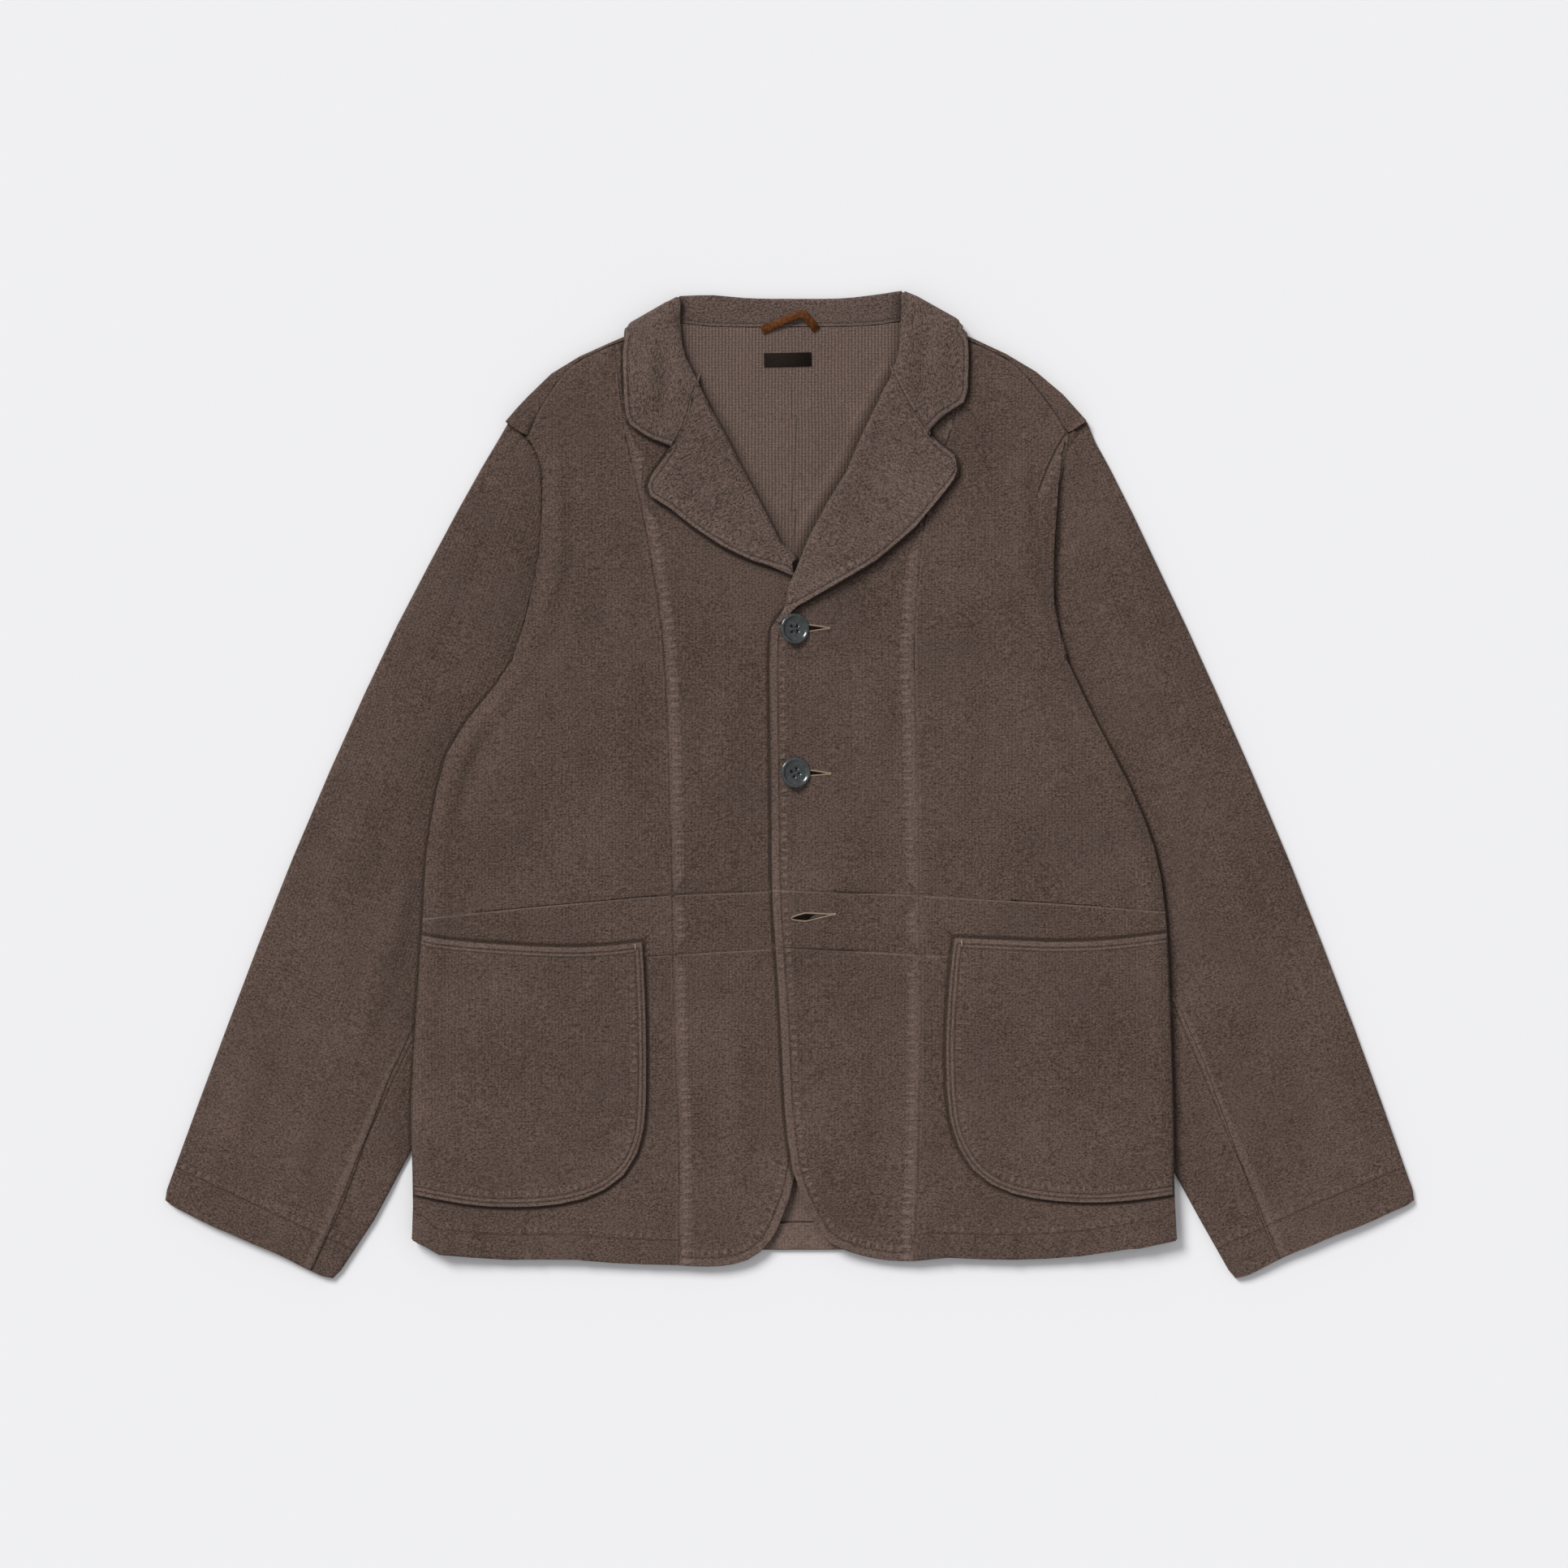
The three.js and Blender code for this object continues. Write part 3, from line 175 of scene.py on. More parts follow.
# The right and the left of the garment, as x and y pairs in millimetres. Lines run upwards or outwards.
BODY_SIDE = {
    "right": [(-279, -334), (-278, -298), (-280, -250), (-277, -180), (-271, -95), (-268.5, -50), (-262, -10),
              (-255, 20), (-241, 45), (-221, 70), (-202, 98), (-192, 130), (-185, 165), (-182, 200), (-183, 235),
              (-193, 256), (-209, 269)],
    "left": [(286, -334), (284, -298), (284, -250), (282, -180), (278, -95), (271, -50), (256, -10), (241, 20),
             (228, 45), (216, 70), (203, 98), (195, 130), (194, 165), (196, 200), (199, 235), (205, 256), (218, 269)],
}
PRINCESS = {
    "right": [(-82, -354), (-82, -269), (-84.5, -200), (-86.5, -122), (-87, -80), (-90, 32), (-95, 117), (-110, 208),
              (-123, 269), (-128, 327)],
    "left": [(92, -351), (95.5, -269), (97, -200), (97, -122), (96, -80), (94, 32), (92.5, 117), (102, 208),
             (121, 269), (128, 331)],
}
WAIST_UPPER = {
    "right": [(-271, -97), (-193, -89), (-131, -83.5), (-87, -80), (23, -76)],
    "left": [(278, -92), (196, -86), (118, -81.5), (96, -80), (-13, -76)],
}
WAIST_LOWER = {
    "right": [(-274, -139), (-180, -131), (-87, -124), (20, -118)],
    "left": [(280, -134), (190, -129), (97, -124), (-10.5, -118)],
}
FRONT_EDGE = {
    "right": [(-82, -354), (-66, -355), (-46, -354), (-30, -349.5), (-18, -340.5), (-9.5, -328), (0, -304),
              (5, -283), (11, -240), (16, -180), (20, -118), (22, -76), (23, 0), (23, 118)],
    "left": [(92, -351), (74, -350.5), (56, -347.5), (38, -341.5), (28, -335.5), (21.5, -328), (9, -304), (2, -283),
             (-3.5, -240), (-6.5, -180), (-10.5, -118), (-13, -76), (-13.5, -30), (-14.5, 40), (-15, 90), (-14, 112),
             (-11, 122), (-5, 129)],
}
HEM = {
    "right": [(-279, -334), (-273, -343), (-246, -347), (-206, -350), (-166, -349.5), (-124, -352.8), (-82, -354)],
    "left": [(286, -334), (279, -339.5), (262, -340), (212, -347.5), (160, -350), (104, -348.5), (92, -351)],
}
LAPEL_EDGE = {
    "right": [(-2, 159.5), (-33, 169), (-62, 185), (-88, 205), (-103.5, 215.5), (-104, 226), (-95, 239), (-86.5, 251)],
    "left": [(-6, 128.4), (9, 135), (32, 148), (64, 167), (92, 191), (113, 216), (125.5, 233), (121, 245),
             (111, 252.5), (101.5, 262)],
}
LAPEL_ROLL = {
    "right": [(-1, 169), (-9, 186), (-22, 212), (-36, 238), (-48, 262), (-57, 277), (-64, 290), (-68, 299)],
    "left": [(-13, 127), (-5, 140), (4, 159), (14, 184), (28, 210), (42, 233), (52, 257), (61, 276), (70, 293),
             (76, 305)],
}
GORGE = {
    "right": [(-86.5, 251.5), (-80.5, 263), (-76, 275), (-73, 287), (-69, 299)],
    "left": [(101.5, 262), (95, 271.5), (88, 283), (82, 294), (77, 305)],
}
COLLAR_EDGE = {
    "right": [(-87.5, 252), (-104, 257.6), (-117.5, 267), (-121, 275), (-122, 286), (-122.5, 300), (-123, 313),
              (-122.5, 325), (-120.5, 334)],
    "left": [(102.5, 263), (111.5, 272.5), (128.5, 283.5), (131, 291), (131.5, 299), (132, 308), (132, 318),
             (131.5, 328), (126.5, 337)],
}
COLLAR_ROLL = {
    "right": [(-69.2, 300), (-75, 311), (-79.5, 326), (-81, 341), (-81, 356)],
    "left": [(77.4, 306), (80, 318), (82, 331), (82.5, 346), (83, 360)],
}
POCKET_RIM = {
    "right": [(-277.5, -301.5), (-240, -308.5), (-209, -311), (-172, -309), (-143, -301.5), (-122, -287),
              (-111.5, -270), (-106.5, -250), (-105, -205), (-106, -154), (-108, -114.5)],
    "left": [(283.5, -301.5), (250, -306), (218, -307.5), (181, -304.5), (154, -297), (135, -283), (122.5, -262),
             (117, -238), (115, -194), (117.5, -144), (121, -111.5)],
}
POCKET_TOP = {
    "right": [(-272, -109.5), (-252, -113), (-209, -116.5), (-165, -118.5), (-136, -117.5), (-108, -114.5)],
    "left": [(279, -108), (237, -113), (196, -114.5), (158, -113), (121, -111.5)],
}
CUFF = {
    "right": [(-464, -307), (-403, -335.5), (-337.5, -366)],
    "left": [(464, -307), (395, -335.5), (329.5, -366)],
}
SLEEVE_FRONT_SEAM = {
    "right": [(-354, -359), (-341, -330), (-329, -300), (-318, -272), (-306, -246), (-292, -215), (-275, -180)],
    "left": [(363, -350), (349, -316), (337, -287), (324, -258), (311, -226), (296, -190), (281, -155)],
}
ARMHOLE = {
    "right": [(-209, 268), (-200, 262), (-191, 252), (-184, 238), (-181, 222)],
    "left": [(214, 274), (208, 266), (199, 253), (192, 239), (187, 227), (184, 218), (183, 202), (185, 164),
             (191, 132), (200, 100)],
}
SHOULDER_SEAM = {
    "right": [(-92, 342.5), (-117, 330.5), (-134, 324.5), (-158, 312.5), (-169, 302), (-177, 291), (-186, 276),
              (-193, 258)],
    "left": [(94, 348), (123, 332), (141, 325), (161, 315), (171, 307), (183, 293), (195, 277), (205, 260)],
}
NECK_SEAM = [(-79.5, 342.5), (-60, 340.2), (-30, 339.6), (4, 339.8), (40, 340), (62, 341), (81.5, 343.6)]
SLEEVE_AXIS = {"right": ((-196, 200), (-400, -335)), "left": ((206, 200), (396, -335))}
SLEEVE_HEAD_LOW = 90  # the sleeve's head is sewn above this height


def sleeve_head(side: str) -> Line:
    """The part of the body's side that the sleeve is sewn to."""
    return Line([p for p in BODY_SIDE[side] if p[1] > SLEEVE_HEAD_LOW])


def beside(route: list[Point], distance: float) -> list[Point]:
    """The points of a line moved to its left by a distance."""
    return [tuple(p) for p in Line(route).moved(distance).points]


# ------------------------------------------------------------------------------------------------ finishes


@dataclass(frozen=True)
class Shade:
    """A colour in linear light."""

    red: float
    green: float
    blue: float

    @classmethod
    def srgb(cls, red: int, green: int, blue: int) -> "Shade":
        """From screen values, 0 to 255."""
        return cls(*(((c / 255 + 0.055) / 1.055) ** 2.4 if c > 10 else c / 255 / 12.92 for c in (red, green, blue)))

    @property
    def rgba(self) -> tuple[float, float, float, float]:
        """With full alpha."""
        return (self.red, self.green, self.blue, 1.0)


class Value:
    """A number in a node tree, worked with by the plain operators."""

    def __init__(self, graph: Graph, socket: bpy.types.NodeSocket) -> None:
        """Wraps the socket that gives the number."""
        self.graph, self.socket = graph, socket

    def __add__(self, other: Value | float) -> Value:
        """The sum."""
        return self.graph.math("ADD", self, other)

    def __sub__(self, other: Value | float) -> Value:
        """The difference."""
        return self.graph.math("SUBTRACT", self, other)

    def __rsub__(self, other: float) -> Value:
        """What is left of a plain number."""
        return self.graph.math("SUBTRACT", other, self)

    def __mul__(self, other: Value | float) -> Value:
        """The product."""
        return self.graph.math("MULTIPLY", self, other)

    __radd__, __rmul__ = __add__, __mul__


class Graph:
    """A short way to write a material's node tree."""

    def __init__(self, name: str) -> None:
        """Starts a material with one Principled shader."""
        self.material = bpy.data.materials.new(name)
        self.material.use_nodes = True
        self.tree = self.material.node_tree
        self.tree.nodes.clear()
        self.shader = self.node("ShaderNodeBsdfPrincipled")
        output = self.node("ShaderNodeOutputMaterial")
        self.link(self.shader.outputs[0], output.inputs[0])

    def node(self, kind: str, **settings: object) -> bpy.types.Node:
        """Adds a node and sets its properties."""
        made = self.tree.nodes.new(kind)
        for key, value in settings.items():
            setattr(made, key, value)
        return made

    def link(self, source: object, target: object) -> None:
        """Joins an output to an input, or sets the input to a number."""
        source = source.socket if isinstance(source, Value) else source
        if isinstance(source, bpy.types.NodeSocket):
            self.tree.links.new(source, target)
        else:
            target.default_value = source

    def math(self, operation: str, *values: Value | float, clamp: bool = False) -> Value:
        """A maths node's result."""
        made = self.node("ShaderNodeMath", operation=operation, use_clamp=clamp)
        for value, target in zip(values, made.inputs):
            self.link(value, target)
        return Value(self, made.outputs[0])

    def ramp(self, value: Value, low: float, high: Value | float, at_low: float = 0.0, at_high: float = 1.0,
             soft: bool = True) -> Value:
        """Maps a value from one range to another, held at the ends."""
        made = self.node("ShaderNodeMapRange", interpolation_type="SMOOTHSTEP" if soft else "LINEAR")
        for value_in, target in zip((value, low, high, at_low, at_high), made.inputs):
            self.link(value_in, target)
        return Value(self, made.outputs[0])

    def mix(self, share: object, first: object, second: object) -> bpy.types.NodeSocket:
        """Mixes two colours."""
        made = self.node("ShaderNodeMix", data_type="RGBA", clamp_factor=True)
        factor, colour_a, colour_b = (made.inputs[k] for k in (0, 6, 7))  # the node has a set for each data type
        for value, target in zip((share, first, second), (factor, colour_a, colour_b)):
            self.link(value, target)
        return made.outputs[2]

    def attribute(self, name: str) -> list[Value]:
        """The three numbers of a point attribute."""
        split = self.node("ShaderNodeSeparateXYZ")
        self.link(self.node("ShaderNodeAttribute", attribute_name=name).outputs["Vector"], split.inputs[0])
        return [Value(self, output) for output in split.outputs]

    def vector(self, x: Value | float, y: Value | float, z: Value | float) -> bpy.types.NodeSocket:
        """A vector from three numbers."""
        made = self.node("ShaderNodeCombineXYZ")
        for value, target in zip((x, y, z), made.inputs):
            self.link(value, target)
        return made.outputs[0]

    def noise(self, where: object, scale: float, detail: float = 2.0, roughness: float = 0.55) -> Value:
        """Noise from 0 to 1 over coordinates in millimetres; scale is in cycles a millimetre."""
        made = self.node("ShaderNodeTexNoise", noise_dimensions="3D")
        self.link(where, made.inputs["Vector"])
        made.inputs["Scale"].default_value = scale
        made.inputs["Detail"].default_value = detail
        made.inputs["Roughness"].default_value = roughness
        return Value(self, made.outputs[0])


DASH_PITCH = 2.1  # along a rib
BAR_PITCH = 6.3  # along a row of stitching


@dataclass(frozen=True)
class Corduroy:
    """The jacket's cloth: a short brushed pile over fine ribs, worn lighter along its seams and edges, with painted
    shade under its neighbours' edges.

    Args:
        name: the material's name.
        base: the pile where it catches the light.
        deep: the pile where it doesn't; also the painted shade under edges, and the grooves, ribs and slubs.
        worn: seams and edges that are rubbed.
        cool: the greyer patches.
        rib: how strongly the ribs show.
        rib_pitch: distance between ribs in millimetres.
        pile: how strongly the pile shows.
        nap: cycles of the pile a millimetre.
    """

    name: str
    base: Shade
    deep: Shade
    worn: Shade
    cool: Shade
    rib: float = 0.10
    rib_pitch: float = 3.2
    pile: float = 1.0
    nap: float = 0.68

    def build(self) -> bpy.types.Material:
        """Makes the material. It reads the attributes grain, edge, rows, seam and kind."""
        g = Graph(self.name)
        across, along, offset = g.attribute("grain")
        grain = g.vector(across, along, offset)
        colour, height, tuft = self._pile(g, grain, across, along, offset)
        colour, height = self._edges(g, colour, height, tuft, offset)
        colour, height = self._seams(g, colour, height, tuft, offset)
        bump = g.node("ShaderNodeBump")
        bump.inputs["Strength"].default_value = 1.0
        bump.inputs["Distance"].default_value = 1.0 * MM
        g.link(height, bump.inputs["Height"])
        g.link(bump.outputs[0], g.shader.inputs["Normal"])
        g.link(colour, g.shader.inputs["Base Color"])
        g.shader.inputs["Roughness"].default_value = 0.96
        g.shader.inputs["Specular IOR Level"].default_value = 0.10
        g.shader.inputs["Sheen Weight"].default_value = 0.06
        g.shader.inputs["Sheen Roughness"].default_value = 0.6
        g.shader.inputs["Sheen Tint"].default_value = (0.75, 0.68, 0.66, 1.0)
        return g.material

    def _pile(self, g: Graph, grain: object, across: Value, along: Value, offset: Value) -> tuple:
        """The pile's colour and height, ribs and slubs in it."""
        wide = g.noise(grain, 0.014, 3.0)
        patch = g.noise(grain, 0.07, 3.0, 0.6)
        tuft = g.noise(g.vector(across * 0.8, along * 1.12, offset), self.nap, 3.0, 0.62)
        speck = g.noise(grain, 1.5, 1.0, 0.6)
        light = (tuft - 0.5) * (2.3 * self.pile) + 0.5
        for part, share in ((speck, 1.3 * self.pile), (patch, 0.26 * self.pile), (wide, 0.44 * self.pile)):
            light = light + (part - 0.5) * share
        colour = g.mix(g.ramp(light, 0.0, 1.0, soft=False), self.deep.rgba, self.base.rgba)
        cool = g.noise(g.vector(across, along, offset + 500.0), 0.016, 3.0)
        colour = g.mix(g.ramp(cool, 0.46, 0.72, 0.0, 0.26), colour, self.cool.rgba)

        # ribs, wandering a little, broken into short dashes and brushed out towards the hem
        sway = (g.noise(grain, 0.02, 1.0) - 0.5) * 1.6
        rib = g.ramp(g.math("SINE", (across + sway) * (2 * math.pi / self.rib_pitch)), -0.8, 0.45)
        dash = g.ramp(g.math("SINE", along * (2 * math.pi / DASH_PITCH)), -0.9, 0.6, 0.45, 1.0)
        dark = (1.0 - rib) * dash * g.ramp(along, -320.0, -180.0, 0.3, 1.0)
        colour = g.mix(dark * self.rib, colour, self.deep.rgba)

        # slubs: short darker ticks across the grain
        ticks = g.noise(g.vector(across * 0.13, along * 0.8, offset), 1.0, 1.0)
        slub = g.ramp(ticks, 0.70, 0.75) * self.pile
        colour = g.mix(slub * 0.7, colour, self.deep.rgba)
        height = tuft * (1.45 * self.pile) + speck * (0.6 * self.pile) - dark * (0.55 * self.rib) - slub * 0.2
        return colour, height, tuft

    @staticmethod
    def _bars(g: Graph, run: Value, offset: Value) -> Value:
        """Uneven bars across a run, where the stitches pull the cloth into short ridges."""
        wander = g.noise(g.vector(run, 0.0, offset), 0.09, 2.0) * 8.0
        beat = g.math("SINE", run * (2 * math.pi / BAR_PITCH) + wander)
        size = g.ramp(g.noise(g.vector(run, 3.0, offset), 0.07, 2.0), 0.22, 0.56)
        return g.ramp(beat, -0.1, 0.85) * size

    @staticmethod
    def _between(g: Graph, value: Value, low: Value | float, high: Value | float, soft: float = 0.8) -> Value:
        """1 between two distances, 0 outside, with soft ends."""
        return g.math("DIVIDE", value - low, soft, clamp=True) * g.math("DIVIDE", high - value, soft, clamp=True)

    @staticmethod
    def _groove(g: Graph, value: Value, middle: Value | float, width: Value | float) -> Value:
        """1 at a distance and 0 beyond a width from it."""
        return g.ramp(g.math("ABSOLUTE", value - middle), 0.15, width, 1.0, 0.0)

    def _edges(self, g: Graph, colour: object, height: Value, tuft: Value, offset: Value) -> tuple:
        """Finished edges: a full rim, one or two rows of stitching, and the ridges these pull up."""
        distance, run, ladder = g.attribute("edge")
        first, second, show = g.attribute("rows")
        rub = g.ramp(tuft, 0.3, 0.62, 0.45, 1.0)
        rim = self._between(g, distance, 0.0, first - 0.5) * g.ramp(first, 9.0, 14.0, 1.0, 0.0)
        welt = self._between(g, distance, first, second) * g.ramp(second - first, 5.0, 7.0, 1.0, 0.0)
        grooves = self._groove(g, distance, first, 0.9) + self._groove(g, distance, second, 0.9)
        inner = first + (second - first) * g.ramp(second, 20.0, 30.0, 1.0, 0.0)
        bars = self._between(g, distance, inner + 0.6, inner + 6.0, 1.6) * self._bars(g, run, offset) * ladder
        light = (rim * 0.46 + welt * 0.5 + bars * 0.9) * (rub * show)
        colour = g.mix(light, colour, self.worn.rgba)
        colour = g.mix(grooves * show * 0.42, colour, self.deep.rgba)
        swell = rim * 0.24 + welt * 0.2 + bars * 0.7 - grooves * 0.3
        return colour, height + swell * show

    def _seams(self, g: Graph, colour: object, height: Value, tuft: Value, offset: Value) -> tuple:
        """Seams: a thin groove, the raised allowance on one side, and a light ridge on the other. Where band is below
        0, the groove widens into painted shade under a neighbour's edge.
        """
        distance, run, band = g.attribute("seam")
        draw, ridge_share, ladder = g.attribute("kind")
        rub = g.ramp(tuft, 0.3, 0.62, 0.4, 1.0)
        # groove: a seam's dark line, 0.95 mm wide; where band is below 0 it is painted shade under a neighbour's edge,
        # widened by -band
        wide = g.math("MAXIMUM", band * -1.0, 0.0) + 0.95
        groove = self._groove(g, distance, 0.0, wide) * draw
        thin = self._groove(g, distance, -1.3, 1.0) * ridge_share
        raised = self._between(g, distance, 0.6, band, 1.2) * g.ramp(band, 1.5, 4.0)
        bars = self._between(g, distance, 3.0, band + 1.5, 1.8) * self._bars(g, run, offset) * ladder
        sewn = self._groove(g, distance, band - 1.6, 0.9) * ladder
        colour = g.mix((raised * 0.36 + bars * 0.62) * rub + thin * 0.5, colour, self.worn.rgba)
        colour = g.mix(groove * 0.45, colour, self.deep.rgba)
        colour = g.mix(sewn * 0.22, colour, self.deep.rgba)
        swell = raised * 0.22 + bars * 0.6 + thin * 0.2 - groove * 0.35 - sewn * 0.22
        return colour, height + swell


@dataclass(frozen=True)
class Plain:
    """A plain material with a faint mottle."""

    name: str
    colour: Shade
    dark: Shade
    roughness: float = 0.5
    specular: float = 0.5
    scale: float = 0.3
    bump: float = 0.0
    coat: float = 0.0

    def build(self) -> bpy.types.Material:
        """Makes the material, on object coordinates in millimetres."""
        g = Graph(self.name)
        scaled = g.node("ShaderNodeVectorMath", operation="SCALE")
        g.link(g.node("ShaderNodeTexCoord").outputs["Object"], scaled.inputs[0])
        scaled.inputs["Scale"].default_value = 1000.0
        mottle = g.noise(scaled.outputs[0], self.scale, 3.0)
        g.link(g.mix(g.ramp(mottle, 0.35, 0.65), self.dark.rgba, self.colour.rgba), g.shader.inputs["Base Color"])
        if self.bump:
            bump = g.node("ShaderNodeBump")
            bump.inputs["Strength"].default_value = self.bump
            bump.inputs["Distance"].default_value = 0.5 * MM
            g.link(mottle, bump.inputs["Height"])
            g.link(bump.outputs[0], g.shader.inputs["Normal"])
        g.shader.inputs["Roughness"].default_value = self.roughness
        g.shader.inputs["Specular IOR Level"].default_value = self.specular
        g.shader.inputs["Coat Weight"].default_value = self.coat
        return g.material


OUTER = Corduroy(
    "brushed_cloth", Shade.srgb(118, 98, 88), Shade.srgb(54, 42, 36), Shade.srgb(126, 107, 98),
    Shade.srgb(83, 70, 67), rib=0.22, rib_pitch=2.46,
)
COLLAR = Corduroy(
    "collar_cloth", Shade.srgb(124, 104, 95), Shade.srgb(54, 43, 38), Shade.srgb(128, 110, 102),
    Shade.srgb(90, 76, 73), rib=0.0, pile=1.1,
)
INSIDE = Corduroy(
    "ribbed_cloth", Shade.srgb(139, 118, 108), Shade.srgb(68, 55, 48), Shade.srgb(137, 119, 110),
    Shade.srgb(104, 89, 84), rib=0.66, rib_pitch=2.46, pile=0.6,
)
HORN = Plain("button_horn", Shade.srgb(58, 62, 62), Shade.srgb(38, 42, 43), roughness=0.24, scale=0.25, coat=0.6)
THREAD = Plain("thread", Shade.srgb(74, 75, 74), Shade.srgb(56, 57, 56), roughness=0.8, specular=0.2, scale=2.0)
HOLE_THREAD = Plain("buttonhole_thread", Shade.srgb(168, 149, 128), Shade.srgb(138, 120, 102), 0.85, 0.2, scale=2.0)
TOP_THREAD = Plain("seam_thread", Shade.srgb(96, 80, 71), Shade.srgb(74, 60, 53), 0.9, 0.15, scale=1.0)
LEATHER = Plain("leather_tape", Shade.srgb(100, 53, 8), Shade.srgb(64, 33, 5), 0.6, 0.2, scale=0.5, bump=0.4)
LABEL = Plain("label_cloth", Shade.srgb(34, 26, 20), Shade.srgb(23, 17, 14), 0.85, 0.12, scale=1.2, bump=0.5)
FLOOR = Shade(0.8273, 0.8234, 0.8316)


# ------------------------------------------------------------------------------------------------ cloth pieces


class Grain(Enum):
    """Which way a piece's ribs run."""

    UPRIGHT = "upright"
    SLEEVE = "sleeve"
    LAPEL = "lapel"
    COLLAR = "collar"


@dataclass(frozen=True)
class Crease:
    """A soft ridge or trough laid into the cloth, in millimetres.

    Args:
        line: x and y of the points it passes through.
        height: how high it stands, or how deep it sinks when negative.
        left: how far it reaches to the left of its run.
        right: how far it reaches to the right.
        near: share of its height at its first end.
        far: share of its height at its last end.
    """

    line: list[Point]
    height: float
    left: float
    right: float
    near: float = 0.0
    far: float = 0.0

    def lift(self, where: np.ndarray) -> np.ndarray:
        """How far it lifts the cloth at points in plan."""
        line = Line(self.line)
        signed, run = line.measure(where)
        share = run / line.length
        ends = np.where(share < 0.5, self.near + (1 - self.near) * smooth(share / 0.35),
                        self.far + (1 - self.far) * smooth((1 - share) / 0.35))
        reach = np.where(signed >= 0, self.left, self.right)
        return self.height * ends * (1 - smooth(np.abs(signed) / reach))


@dataclass(frozen=True)
class Rim:
    """A finished edge with its rows of stitching.

    Args:
        line: the edge.
        inside: 1 where the cloth lies to the left of the line's run, -1 to the right.
        first: distance from the edge to the first row.
        second: distance to the second row; NOWHERE for none.
        ladder: how strongly the stitching pulls up short ridges beside the last row.
        show: how strongly the rim shows at all.
        thread: True where real thread is laid in the rows.
    """

    line: Line
    inside: int
    first: float
    second: float = NOWHERE
    ladder: float = 0.5
    show: float = 1.0
    thread: bool = True


@dataclass(frozen=True)
class Seam:
    """A seam between two pieces, or a line of painted shade under a neighbour's edge.

    Args:
        line: where it runs.
        inside: 1 where the allowance lies to the left of the line's run, -1 to the right.
        band: the allowance's width; 0 for none. Below 0 it is the width of the painted shade under a neighbour's edge.
        draw: how deep and dark the groove is; where band is below 0, how dark the painted shade is.
        ridge: how strongly the light ridge beside it shows.
        ladder: how strongly the allowance is pulled into short ridges.
    """

    line: Line
    inside: int
    band: float = 0.0
    draw: float = 0.7
    ridge: float = 0.3
    ladder: float = 0.0


@dataclass(frozen=True)
class Pull:
    """Draws a piece's edge towards a seam, so that sewn pieces meet.

    Args:
        line: the seam.
        amount: how far the edge goes.
        reach: distance over which that fades.
        far: share of the amount at the line's last end.
    """

    line: Line
    amount: float
    reach: float
    far: float = 1.0


@dataclass(frozen=True)
class Nudge:
    """Moves the cloth round one place, to round a corner or lead an edge under its neighbour.

    Args:
        place: x and y of the middle.
        reach: how far it goes.
        shift: x and y moved at the middle.
        lift: height moved at the middle.
    """

    place: Point
    reach: float
    shift: Point
    lift: float = 0.0


SHARP = math.radians(62)  # edges of a solid that turn more than this are rounded
UNDERSIDE_CELLS = 2.2  # hidden faces are cut this much coarser
ALMOST_LEVEL = 0.86  # faces whose normal stands at least this upright are evened out
BACK_NECK = (84, 248)  # beyond this x and y the back's upper face is its outer side, turned forward
SLEEVE_DIP = 2.2  # how far a sleeve sinks beside the body


